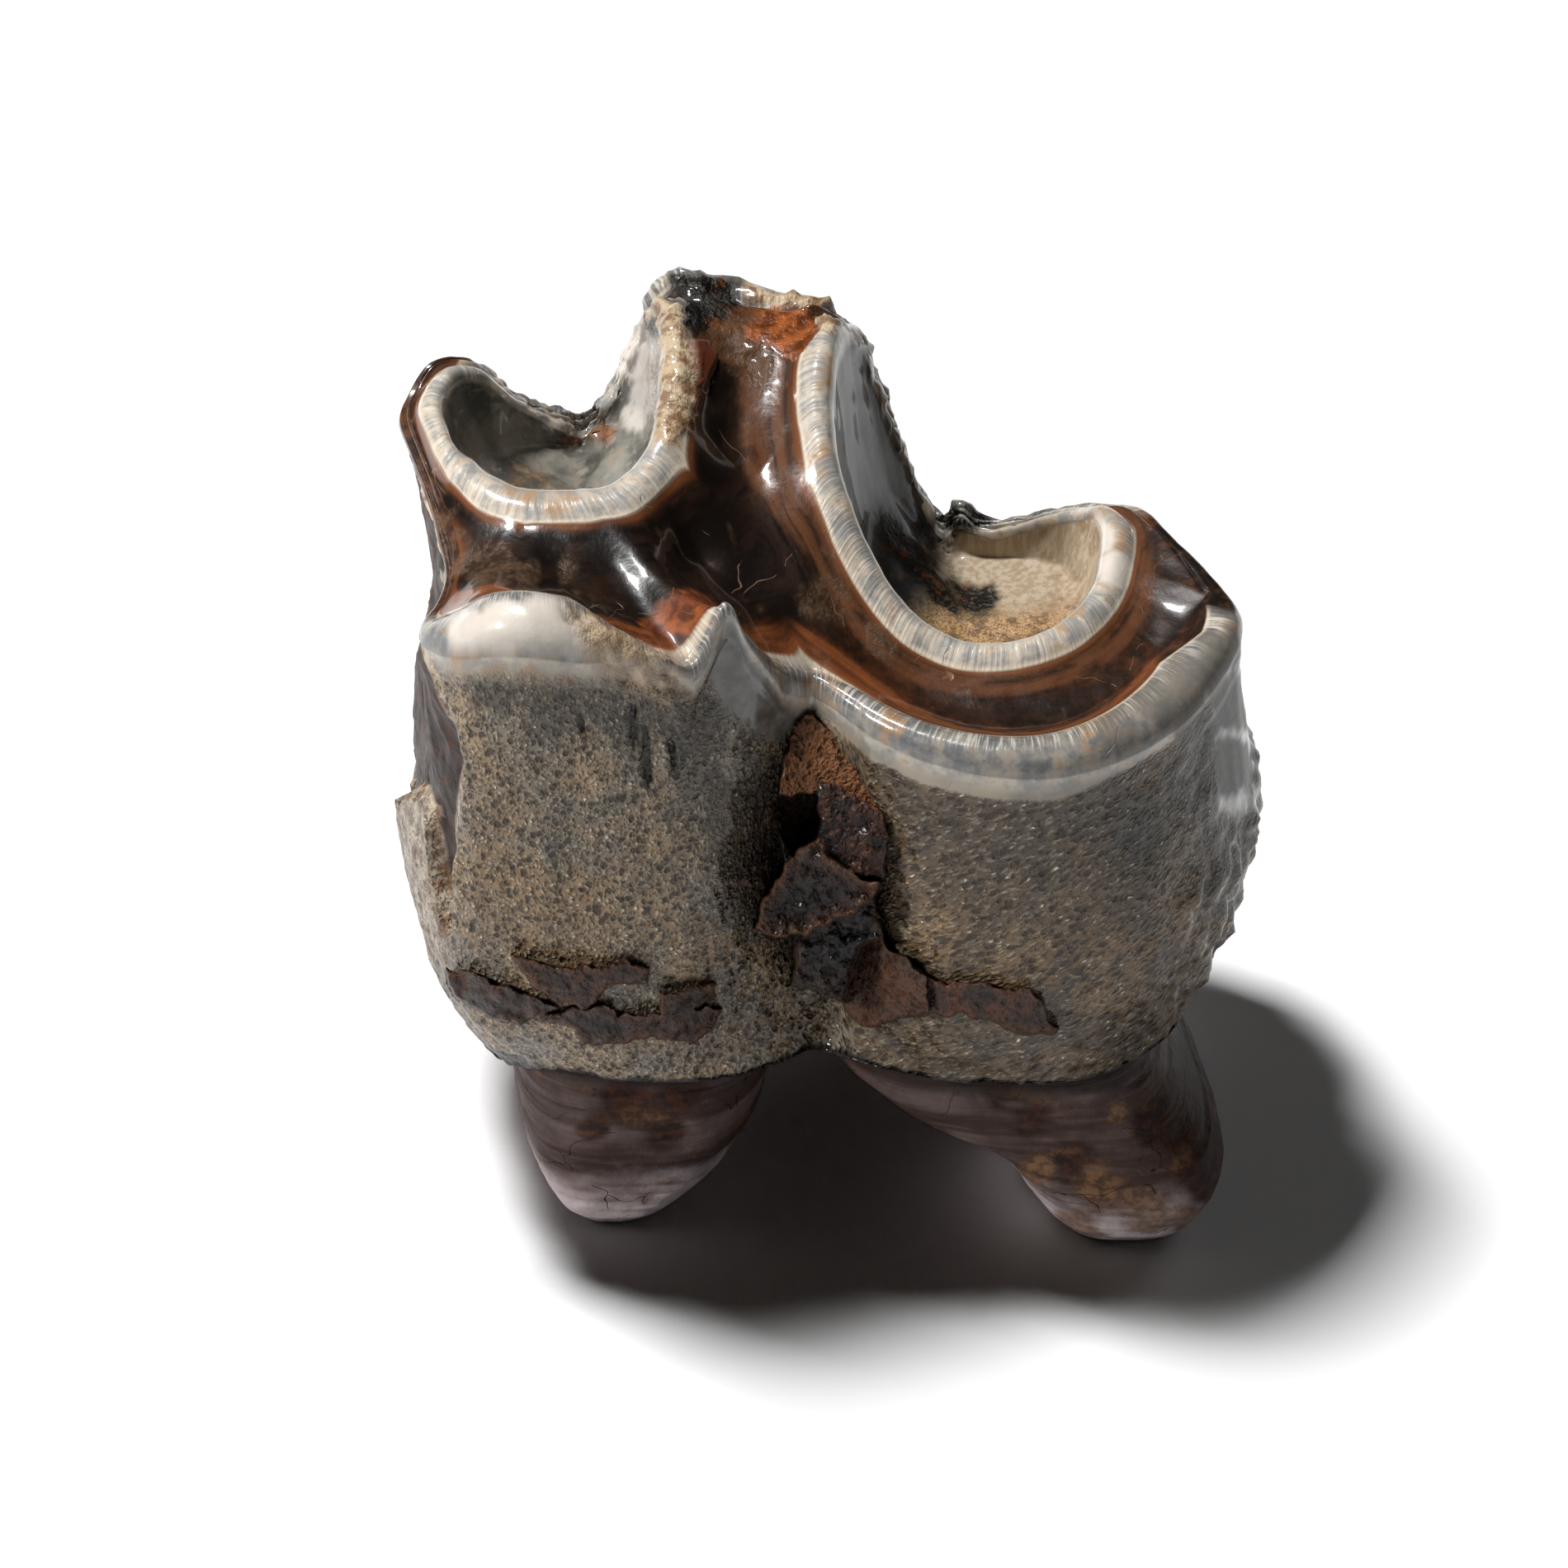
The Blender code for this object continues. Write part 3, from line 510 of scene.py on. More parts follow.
# What each point of the crown's grids tells the relief and the material. The number down
# is how far it lies below the rim: less than WALL_DOWN, or UNDERSIDE_DOWN underneath
BAND_NUMBERS = ("inward", "down", "bare", "left_pit", "right_pit", "cover", "outer")
WALL_DOWN = 50.0
UNDERSIDE_DOWN = 60.0

# A distance to a point well outside the tooth, which its faces turn to or away from
FAR = 200.0

# Creases that are evened out where the bands meet: start, end and reach
MEETING_LINES = (
    (LEFT_BAND[0][:3], FRONT_MEETING, 3.6),
    (FRONT_MEETING, RIDGE[0][:3], 3.0),
    (FRONT_MEETING, RIDGE[0][3:], 3.0),
    ((-2.5, -12.1, 49.5), (-4.0, -6.5, 47.5), 3.4),
    ((-11.0, -3.0, 48.6), (-6.5, -9.5, 48.0), 4.4),
    ((-8.5, -6.0, 48.3), (-5.2, -12.6, 47.2), 3.4),
    ((-17.5, -9.0, 48.4), (-18.8, -2.0, 48.8), 3.8),
    ((-6.8, -10.0, 48.0), (-5.0, -12.9, 46.9), 2.6),
    (LEFT_BAND[-1][:3], BACK_MEETING, 3.0),
    (RIDGE[-1][:3], BACK_MEETING, 2.5),
    (RIDGE[-1][3:], BACK_MEETING, 2.5),
)
MEETING_ROUNDS = 220
CONTOUR_ROUNDS = 50

# Relief of the crown: lumps by size in millimetres, seed and octaves, cells by size and seed
LUMPS = {
    "broken borders": (1.1, 5, 2),
    "mark borders": (1.2, 51, 3),
    "fine borders": (0.45, 53, 2),
    "wall waves": ((2.0, 2.0, 16.0), 3, 2),
    "wall grit": (0.8, 8, 3),
    "wall swells": (3.0, 9, 2),
    "shell ripples": ((1.6, 1.6, 2.6), 12, 3),
    "shell grit": (0.7, 13, 2),
    "dentine waves": (2.4, 23, 2),
    "dentine grit": (0.6, 24, 1),
    "rim waves": (1.3, 29, 2),
    "torn grit": (0.6, 37, 2),
    "torn waves": (1.7, 38, 2),
    "hollow waves": (1.0, 39, 3),
    "basin waves": ((1.6, 1.6, 4.0), 41, 2),
    "sand waves": (1.6, 43, 3),
}
CELLS = {
    "wall pits": ((0.75, 0.75, 0.9), 7),
    "shells": ((3.2, 3.2, 4.2), 11),
    "end knots": ((1.7, 1.7, 2.2), 19),
    "knobs": (0.9, 31),
    "facets": ((2.6, 2.2, 2.2), 40),
}

# Growth rings of the roots (height, width, rise), and a height well inside each root
GROWTH_RINGS = ((11.2, 0.55, 0.16), (9.3, 0.8, 0.14), (6.4, 0.5, 0.2), (4.6, 0.7, 0.12))
FINE_RING_HEIGHT = 0.8
ROOT_CORE = 8.0

# The cheek wall under the cement: its angles, its reach along the jaw, its heights
CHEEK_START, CHEEK_END = -2.95, -0.2
CHEEK_ALONG = (-19.0, 25.0)
CHEEK_HEIGHTS = (12.0, 40.0)
CHEEK_STEP = 0.2
CHEEK_GUESS = -15.0
SEEN_ROUNDS = 12

# Paints: strength and colour, or strength and two colours, then the values of the noise
# between which the first gives way to the second
PAINTS = {
    "rim": (1, (138, 136, 132), (186, 174, 158), 0.4, 0.6),
    "cheek rim": (1, (92, 93, 94), (136, 130, 120), 0.4, 0.6),
    "light teeth": (0.5, (212, 206, 196)),
    "dark teeth": (0.42, (84, 82, 78)),
    "rim ochre": (0.5, (134, 98, 58)),
    "rim stain": (0.6, (142, 104, 62)),
    # Painted shade on the rim at the right end
    "painted shade on dull rim": (0.7, (92, 86, 78)),
    # Pale enamel, partly painted light
    "white rim": (0.85, (200, 191, 180)),
    "line by the dentine": (0.6, (206, 190, 166)),
    "rim grains": (0.85, (112, 76, 36), (178, 158, 128), 0.4, 0.6),
    "chipped rim": (0.8, (112, 80, 46), (186, 168, 142)),
    "smooth wall": (1, (106, 102, 96), (150, 138, 119), 0.35, 0.65),
    # Pale enamel, partly painted light
    "white band": (0.8, (182, 174, 162)),
    "ochre band": (0.5, (140, 106, 66)),
    # Painted shade on the smooth band at the right end
    "painted shade on dull band": (0.8, (82, 78, 74)),
    "left ground": (1, (120, 112, 101), (154, 130, 101), 0.35, 0.65),
    # The right lobe's ground is darker than the left's: painted shade, that lobe being turned from
    # the light
    "shaded right ground": (1, (70, 61, 52), (102, 82, 60), 0.35, 0.65),
    "wall ochre": (0.55, (146, 114, 76)),
    # Painted shade: grey with fine upright fibres, laid where the shade spots fall
    "slate grey painted shade": (0.8, (32, 33, 34), (82, 80, 76), 0.38, 0.62),
    "pale clouds": (0.3, (146, 132, 108)),
    # Pale enamel, partly painted light
    "white wall": (0.55, (160, 150, 134)),
    "beads": (1, (184, 171, 146)),
    "between beads": (0.35, (76, 60, 40)),
    "small pits": (0.6, (72, 50, 26)),
    "pits": (0.9, (50, 33, 14)),
    "fissures": (0.8, (30, 22, 14)),
    "pale lines": (0.25, (160, 148, 128)),
    # Painted highlights: tiny pale glints on the beads
    "glints": (0.75, (226, 219, 200)),
    "glaze": (0.85, (58, 60, 62), (104, 100, 94), 0.35, 0.65),
    # Painted shade on the wall at the right end
    "painted shade on dull wall": (0.6, (54, 51, 49)),
    # A darker band just above the neck's edge
    "above the neck": (0.6, (60, 52, 46)),
    # Painted shade: the dark gap between crown and roots, painted on the wall's lowest edge
    "neck": (0.95, (24, 17, 13)),
    "left basin": (1, (72, 71, 65), (120, 117, 108), 0.4, 0.6),
    "left basin clouds": (1, (144, 140, 130)),
    # Painted light on the left basin's wall that faces the light
    "left basin white and painted light": (0.8, (190, 182, 174)),
    # Painted shade: the right basin's wall by the ridge, turned from the light, is dark blue grey
    "right basin": (1, (40, 41, 42), (74, 76, 78), 0.4, 0.65),
    "right basin cream": (1, (158, 140, 116)),
    "right basin stripes": (0.6, (190, 176, 154)),
    "basin dirt": (1, (118, 84, 50)),
    "sand": (1, (122, 88, 54), (184, 150, 108), 0.35, 0.6),
    "dark sand": (0.6, (64, 48, 32)),
    "clay": (1, (70, 42, 28), (126, 88, 62), 0.35, 0.6),
    "dark dentine": (1, (16, 11, 8), (40, 26, 18), 0.35, 0.65),
    "brown dentine": (1, (46, 30, 21), (86, 54, 34), 0.3, 0.6),
    "orange dentine": (1, (84, 47, 26), (120, 67, 36), 0.35, 0.6),
    "open side": (0.8, (44, 27, 19), (92, 58, 36), 0.4, 0.65),
    "rim lining": (0.7, (112, 64, 36)),
    "dark flakes": (0.9, (15, 10, 7), (58, 37, 24), 0.45, 0.7),
    "notch": (1, (70, 34, 16), (132, 70, 34), 0.35, 0.7),
    # Near black dentine, and painted shade in the notch's hole
    "darkest dentine and painted hole shade": (0.92, (13, 9, 7)),
    "dentine cracks": (0.35, (150, 112, 80)),
    "dust": (0.6, (88, 66, 47)),
    "broken end": (1, (58, 48, 45), (32, 22, 17), 0.4, 0.6),
    "broken end rust": (0.7, (88, 52, 30)),
    "torn edge": (1, (106, 74, 46), (172, 158, 138), 0.38, 0.6),
    "hollow": (1, (34, 20, 12), (96, 64, 36)),
    "facet": (1, (78, 38, 16), (142, 78, 36), 0.35, 0.65),
    "knob": (1, (92, 44, 27)),
    # Dark amber stain, and painted shade in the right basin's valley
    "amber stain and painted shade": (1, (12, 9, 5), (78, 40, 14), 0.56, 0.66),
    "root": (1, (70, 57, 55), (98, 83, 80), 0.35, 0.65),
    "root bands": (0.85, (48, 32, 26)),
    # Painted light: the lower roots made pale where the light falls on them
    "painted light on root tips": (0.85, (204, 190, 191)),
    "root lines": (0.2, (120, 102, 96)),
    # Red brown, and painted shade on the right root's right side
    "root red and painted shade": (0.9, (30, 16, 11), (64, 34, 21), 0.4, 0.65),
    "root tan": (0.75, (78, 56, 40), (122, 90, 62), 0.4, 0.6),
    # Painted shade: the top of each root, darkened where it meets the crown's overhang
    "painted shade under the crown": (0.7, (30, 21, 17)),
    "root cracks": (0.8, (24, 16, 12)),
    "crust": (1, (21, 18, 19), (38, 27, 25), 0.35, 0.65),
    "crust rust": (1, (76, 44, 29)),
    "crust tan": (1, (108, 69, 41)),
    "crust pits": (0.5, (16, 11, 9)),
}
DULL_SHARES = {"flaky": 0.4, "orange": 0.8, "stain": 0.6, "dull": 0.9}

# How patterns are stretched, and how many pits and beads there are to a millimetre
COMB_STRETCH = (1.0, 0.06, 1.0)
STREAK_STRETCH = (1.0, 0.6, 1.0)
FIBRE_STRETCH = (1.0, 1.0, 0.25)
TALL_STRETCH = (1.0, 1.0, 0.15)
LEVEL_STRETCH = (0.10, 0.10, 1.0)
GRAIN_STRETCH = (1.0, 1.0, 0.75)
ROW_LENGTHENING = 0.45
ROW_SLOPE = -0.4
ROW_CROWDING = 1.25
WIDE_PITS = 2.1
SMALL_PITS = 4.2
BEADS = 3.1

# Floor and lights in metres: a light's direction, size, watts and what alone it lights
FLOOR_HALF = 2.0
FLOOR_COLOUR = (0.93, 0.93, 0.93, 1.0)
LIT_PLACE = (0.0, 0.0, 0.03)
LIGHT_DISTANCE = 1.0
LIGHTS = {
    "key": ((-0.295, 0.18, 0.95), (0.12, 0.20), 13.0, None),
    "tooth_fill": ((-0.72, -0.36, 0.6), (0.14, 0.14), 7.5, "tooth"),
    "floor_fill": ((0.62, 0.6, 0.5), (0.5, 0.5), 0.8, "floor"),
}
SURROUND_STRENGTH = 0.005


# Numbers that vary over a surface


def ease(share):
    """Smooth step from 0 to 1: 3s^2 - 2s^3 of the share s, held between 0 and 1."""
    share = np.clip(share, 0.0, 1.0)
    return share * share * (3.0 - 2.0 * share)


def scattered(cell, seed):
    """Repeatable numbers from 0 to 1: the whole-number corner mixed bit by bit with the seed."""
    mixed = cell[..., 0] * 73856093 ^ cell[..., 1] * 19349663 ^ cell[..., 2] * 83492791
    mixed = mixed ^ (seed * 40503 + 12345)
    mixed = (mixed ^ (mixed >> 13)) * 1274126177
    mixed = (mixed ^ (mixed >> 16)) & 0xFFFFFF
    return mixed / 0xFFFFFF


def soft_noise(points, size, seed, octaves=1):
    """Sum over octaves k of 0.5^k n(2^k p / size), n blending corner values; from -1 to 1."""
    total, weight = np.zeros(len(points)), 0.0
    for octave in range(octaves):
        at = points * 2.0**octave / np.asarray(size, float)
        cell = np.floor(at).astype(np.int64)
        part = at - cell
        part = part * part * (3 - 2 * part)
        value = np.zeros(len(points))
        for corner in itertools.product((0, 1), repeat=3):
            offset = np.array(corner)
            share = np.prod(np.where(offset == 1, part, 1 - part), axis=1)
            value += share * scattered(cell + offset, seed + 17 * octave)
        total += (2 * value - 1) * 0.5**octave
        weight += 0.5**octave
    return total / weight


def cell_distance(points, size, seed):
    """Distance to the nearest of points scattered one to a cell."""
    at = points / np.asarray(size, float)
    cell = np.floor(at).astype(np.int64)
    nearest = np.full(len(points), 9.0)
    for step in itertools.product((-1, 0, 1), repeat=3):
        corner = cell + np.array(step)
        centre = corner + np.stack([scattered(corner, seed + k) for k in range(3)], axis=1)
        nearest = np.minimum(nearest, np.linalg.norm(centre - at, axis=1))
    return nearest


def lumps(points, name):
    """Soft noise with the size, seed and octaves of the named lumps."""
    return soft_noise(points, *LUMPS[name])


def cells(points, name):
    """Distance to the nearest of the named cells' points."""
    return cell_distance(points, *CELLS[name])


def picture_place(points):
    """Across and down in the camera's picture: the pinhole image of points in millimetres."""
    from_camera = points - (CAMERA_AIM + CAMERA_BACK)
    ahead = np.array([0.0, math.cos(CAMERA_TILT), -math.sin(CAMERA_TILT)])
    upward = np.array([0.0, math.sin(CAMERA_TILT), math.cos(CAMERA_TILT)])
    scale = UNITS_PER_MM * CAMERA_AWAY / (from_camera @ ahead)
    across = PICTURE_MIDDLE + scale * from_camera[:, 0]
    down = PICTURE_MIDDLE - scale * (from_camera @ upward)
    return across, down


def at_depth(across, down, depth):
    """Points seen at places of the picture and lying at depths y: picture_place turned round."""
    start = CAMERA_AIM + CAMERA_BACK
    scale = UNITS_PER_MM * CAMERA_AWAY
    right = (across - PICTURE_MIDDLE) / scale
    upward = (PICTURE_MIDDLE - down) / scale
    ray_y = math.cos(CAMERA_TILT) + math.sin(CAMERA_TILT) * upward
    ray_z = -math.sin(CAMERA_TILT) + math.cos(CAMERA_TILT) * upward
    far = (depth - start[1]) / ray_y
    return np.stack([start[0] + far * right, depth, start[2] + far * ray_z], axis=-1)


def outline_depth(across, down, outline):
    """Distance inside a closed outline, negative outside it, in the outline's own units."""
    corners = np.asarray(outline, float)
    inside = np.zeros(len(across), bool)
    nearest = np.full(len(across), 1e9)
    for start, end in zip(corners, np.roll(corners, -1, axis=0)):
        run = end - start
        share = (across - start[0]) * run[0] + (down - start[1]) * run[1]
        share = np.clip(share / (run @ run), 0, 1)
        gap = np.hypot(across - start[0] - share * run[0], down - start[1] - share * run[1])
        nearest = np.minimum(nearest, gap)
        crosses = (start[1] > down) != (end[1] > down)
        rise = end[1] - start[1] or 1e-9
        inside ^= crosses & (across < start[0] + (down - start[1]) * run[0] / rise)
    return np.where(inside, nearest, -nearest)


def spots(across, down, places):
    """Largest of several soft round spots: 1 at each centre, 0 from its radius outwards."""
    value = np.zeros(len(across))
    for centre_across, centre_down, radius in places:
        gap = np.hypot(across - centre_across, down - centre_down) / radius
        value = np.maximum(value, ease(1.35 * (1 - gap)))
    return value


# Curves and grids


def read_curve(points, at, closed=True):
    """Smooth curve (Catmull-Rom cubic) through the points, read at fractional numbers."""
    points = np.asarray(points, float)
    count = len(points)
    first = np.floor(at).astype(int)
    if not closed:
        first = np.clip(first, 0, count - 2)
    part = (at - first)[:, None]

    def around(step):
        index = first + step
        return points[index % count if closed else np.clip(index, 0, count - 1)]

    before, start, end, after = around(-1), around(0), around(1), around(2)
    return 0.5 * (
        2 * start
        + (end - before) * part
        + (2 * before - 5 * start + 4 * end - after) * part**2
        + (3 * start - before - 3 * end + after) * part**3
    )


def crowded_places(pairs, count):
    """Fractional row numbers that divide a band evenly, but closer together at the cheek."""
    fine = np.linspace(0, len(pairs) - 1, 80 * len(pairs))
    line = read_curve(pairs[:, :6], fine, closed=False)
    steps = np.linalg.norm(np.diff(line, axis=0), axis=1)
    deep = 0.5 * (line[1:, 1] + line[:-1, 1])
    steps = steps * (1 + FRONT_CROWDING * ease((2.0 - deep) / 6.0))
    length = np.concatenate([[0.0], np.cumsum(steps)])
    return np.interp(np.linspace(0, length[-1], count + 1), length, fine)


def inward_normals(loop):
    """Unit normals in plan, pointing to the left of the way the closed loop runs."""
    along = np.roll(loop[:, :2], -1, axis=0) - np.roll(loop[:, :2], 1, axis=0)
    along /= np.linalg.norm(along, axis=1)[:, None]
    return np.stack([-along[:, 1], along[:, 0]], axis=1)


def loop_lengths(loop):
    """Length of the way round a closed loop at each of its points, and in all."""
    steps = np.linalg.norm(np.roll(loop, -1, axis=0) - loop, axis=1)
    return np.cumsum(steps) - steps, steps.sum()


def evened(loop, values, reach):
    """Values along a closed edge, averaged with a bell-shaped weight along its length."""
    length, whole = loop_lengths(loop)
    steps = np.diff(np.append(length, whole))
    apart = np.abs(length[:, None] - length[None, :])
    apart = np.minimum(apart, whole - apart)
    weight = np.exp(-((apart / reach) ** 2)) * steps[None, :]
    return weight @ values / weight.sum(axis=1, keepdims=values.ndim > 1)


# The crown's surfaces


def middle_line(outer, basin, cover):
    """Line between a band's two rims, sunk where it is wide and drawn to the meetings.

    It runs halfway, but close to the outer edge where that edge has lost its enamel.
    """
    share = (BARE_MIDDLE + (0.5 - BARE_MIDDLE) * cover)[:, None]
    width = np.linalg.norm(outer[:, :2] - basin[:, :2], axis=1)
    middle = outer + (basin - outer) * share
    middle[:, 2] -= DEEPEST_DISH * ease((width - 3.0) / 9.0) * (0.3 + 0.7 * cover)
    steps = np.linalg.norm(np.diff(middle, axis=0), axis=1)
    length = np.concatenate([[0.0], np.cumsum(steps)])
    drawn = min(MEETING_LENGTH, length[-1])
    pull_start = np.clip(1 - length / drawn, 0, 1)[:, None] ** 2
    pull_end = np.clip(1 - (length[-1] - length) / drawn, 0, 1)[:, None] ** 2
    shift_start = (np.array(FRONT_MEETING) - middle[0]) * pull_start
    shift_end = (np.array(BACK_MEETING) - middle[-1]) * pull_end
    return middle + shift_start + shift_end


def half_band(side, middle, cover, rim_shape, fading):
    """Rows from an edge over its rim to the band's middle, and how far in each row is.

    Over the rim the height falls from the crest by a quarter circle outwards and by a
    square law inwards; past it the dish falls to the middle as (1 - s)^2, while short
    rises of the edge die out as (1 - s)^fading. Where the band is too narrow for dentine
    the distance from the rim stays below 0.
    """
    edge, inward, even, _ = side
    width, round_drop, foot, crest = rim_shape
    reach = np.linalg.norm(middle[:, :2] - edge[:, :2], axis=1)
    full = np.clip(reach / (width + 0.8), 0.0, 1.0)
    rim = width * full
    foot = foot * cover * full
    shoulder = BARE_SHOULDER + (round_drop - BARE_SHOULDER) * cover * full
    rows = []
    for share in np.linspace(0, 1, RIM_ROWS + 1):
        outside = np.clip(1 - share / crest, 0, 1)
        inside = np.clip((share - crest) / (1 - crest), 0, 1)
        drop = shoulder * (1 - np.sqrt(1 - outside**2)) + foot * inside**2
        rows.append((rim * share, edge[:, 2] - drop))
    for share in np.linspace(0, 1, DISH_ROWS + 1)[1:] ** 1.3:
        height = middle[:, 2] + (even - foot - middle[:, 2]) * (1 - share) ** 2
        height += (edge[:, 2] - even) * (1 - share) ** fading
        rows.append((rim + (reach - rim) * share, height))
    straight = (middle[:, :2] - edge[:, :2]) / reach[:, None]
    inward = inward + LEAN_TO_MIDDLE * straight
    inward /= np.linalg.norm(inward, axis=1)[:, None]
    leftover = (straight - inward) * reach[:, None]
    too_narrow = 1.5 * (1 - ease((reach - 0.9) / 0.6)) * ease(cover * 4)
    points, far_in = [], []
    for far, height in rows:
        turn = (far / reach)[:, None] ** 2
        plan = edge[:, :2] + inward * far[:, None] + leftover * turn
        points.append(np.column_stack([plan, height]))
        far_in.append(far - rim - too_narrow)
    return np.array(points), np.array(far_in)


def outline_reader(outline):
    """Radius of a closed outline about the crown's axis, as a function of the angle."""
    line = read_curve(outline, np.linspace(0, len(outline), 900, endpoint=False))
    away = line - AXIS
    angle = np.arctan2(away[:, 1], away[:, 0])
    order = np.argsort(angle)
    radius = np.hypot(away[:, 0], away[:, 1])[order]
    return lambda at: np.interp(at, angle[order], radius, period=2 * math.pi)


BELLY_RADIUS, NECK_RADIUS = outline_reader(BELLY_OUTLINE), outline_reader(NECK_OUTLINE)


def wall_base(along):
    """Height of the neck's edge at a place along the jaw: lower towards the left end."""
    return CERVIX - (CERVIX - LOW_CERVIX) * ease((-14.0 - along) / 7.0)


def plain_wall(angle, height, base):
    """Plan points at an angle and height: neck radius swelling to the belly's by 1 - s^2.4."""
    fullness = 1 - np.clip((BELLY - height) / (BELLY - base), 0, 1) ** 2.4
    radius = NECK_RADIUS(angle) + (BELLY_RADIUS(angle) - NECK_RADIUS(angle)) * fullness
    return np.column_stack([np.cos(angle), np.sin(angle)]), radius


def broken_share(points, angle):
    """1 where the left end's enamel has broken away: left of the fracture, above the chip."""
    across, down = picture_place(points)
    wobble = 5.0 * lumps(points, "broken borders")
    rows, columns = zip(*FRACTURE_LINE)
    line = np.interp(down, rows, columns)
    from_front = ease((line + wobble - across) / 16.0)
    from_front = np.maximum(from_front, ease((BREAK_FRONT - angle + 0.012 * wobble) / 0.03))
    from_front = np.where((angle < 0) & (angle > BREAK_LIMIT), 0.0, from_front)
    from_back = ease((angle - BREAK_BACK + 0.01 * wobble) / 0.03)
    from_side = np.where(angle > 0, from_back, from_front)
    outside_chip = ease((-outline_depth(across, down, CHIP_OUTLINE) + wobble) / 8.0)
    rise = HIDDEN_RISE * ease((points[:, 1] - CORNER_DEPTH) / 6.0)
    behind = ease((points[:, 2] - HIDDEN_CHIP - rise - 0.1 * wobble) / 0.5)
    return from_side * np.where(points[:, 1] > CORNER_DEPTH, behind, outside_chip)


def crown_wall(edge, top):
    """Rows up the outside of the crown, from the neck to the rim, blending plan to edge."""
    away = edge[:, :2] - AXIS
    angle = np.unwrap(np.arctan2(away[:, 1], away[:, 0]))
    if angle[-1] < angle[0]:
        angle = np.minimum.accumulate(angle)
    else:
        angle = np.maximum.accumulate(angle)
    angle = (angle + math.pi) % (2 * math.pi) - math.pi
    base = wall_base(edge[:, 0])
    knots = np.linspace(0, 1, WALL_ROWS + 1)
    shares = np.interp(knots, (0, 0.06, 0.86, 1), (0, 0.025, 0.93, 1))
    rows, broken = [], []
    for share in shares:
        height = base + (top - base) * share
        ray, radius = plain_wall(angle, height, base)
        near_top = ease((share - 0.35) / 0.65)[None]
        plan = AXIS + ray * radius[:, None]
        plan = plan + (edge[:, :2] - plan) * near_top
        bare = broken_share(np.column_stack([plan, height]), angle)
        depth = (BROKEN_ENAMEL + BROKEN_SHOULDER * ease((height - 35.0) / 9.0)) * bare
        plan = plan - ray * (depth * (1 - near_top))[:, None]
        across, down = picture_place(np.column_stack([plan, height]))
        border = np.interp(down, *zip(*LEFT_BORDER))
        below_rim = bare * (plan[:, 0] < LEFT_END) * (share < 1)
        plan[:, 0] += np.clip(border - across, 0, 60) / UNITS_PER_MM * below_rim
        rows.append(np.column_stack([plan, height]))
        broken.append(bare)
    return np.array(rows), np.array(broken)


def crown_underside(ring):
    """Rows from the neck's edge inwards, rising to a point over the roots."""
    centre = np.array([AXIS[0], AXIS[1], CERVIX + 1.6])
    rows = [ring]
    for share in (0.02, 0.09, 0.4, 1.0):
        row = ring + (centre - ring) * share
        row[:, 2] = ring[:, 2] + (centre[2] - ring[:, 2]) * min(1.0, 2.0 * share)
        rows.append(row)
    return np.array(rows)


def basin(edge, shoulder, floor):
    """Rows from a basin's edge down its wall (a mix of line and quarter circle) to its floor."""
    centre = np.array(floor[:3])
    away = edge[:, :2] - centre[:2]
    angle = np.arctan2(away[:, 1], away[:, 0])
    foot = centre[:2] + np.column_stack([floor[3] * np.cos(angle), floor[4] * np.sin(angle)])
    rows = []
    for share in np.linspace(0, 1, PIT_ROWS - 5):
        inwards = 0.45 * share + 0.55 * (1 - math.cos(share * math.pi / 2))
        down = 0.45 * share + 0.55 * math.sin(share * math.pi / 2)
        plan = edge[:, :2] + (foot - edge[:, :2]) * inwards
        rows.append(np.column_stack([plan, shoulder + (centre[2] - shoulder) * down]))
    last = rows[-1]
    for share in (0.2, 0.4, 0.6, 0.8, 1.0):
        rows.append(last + (centre - last) * share)
    return np.array(rows)


# Meshes


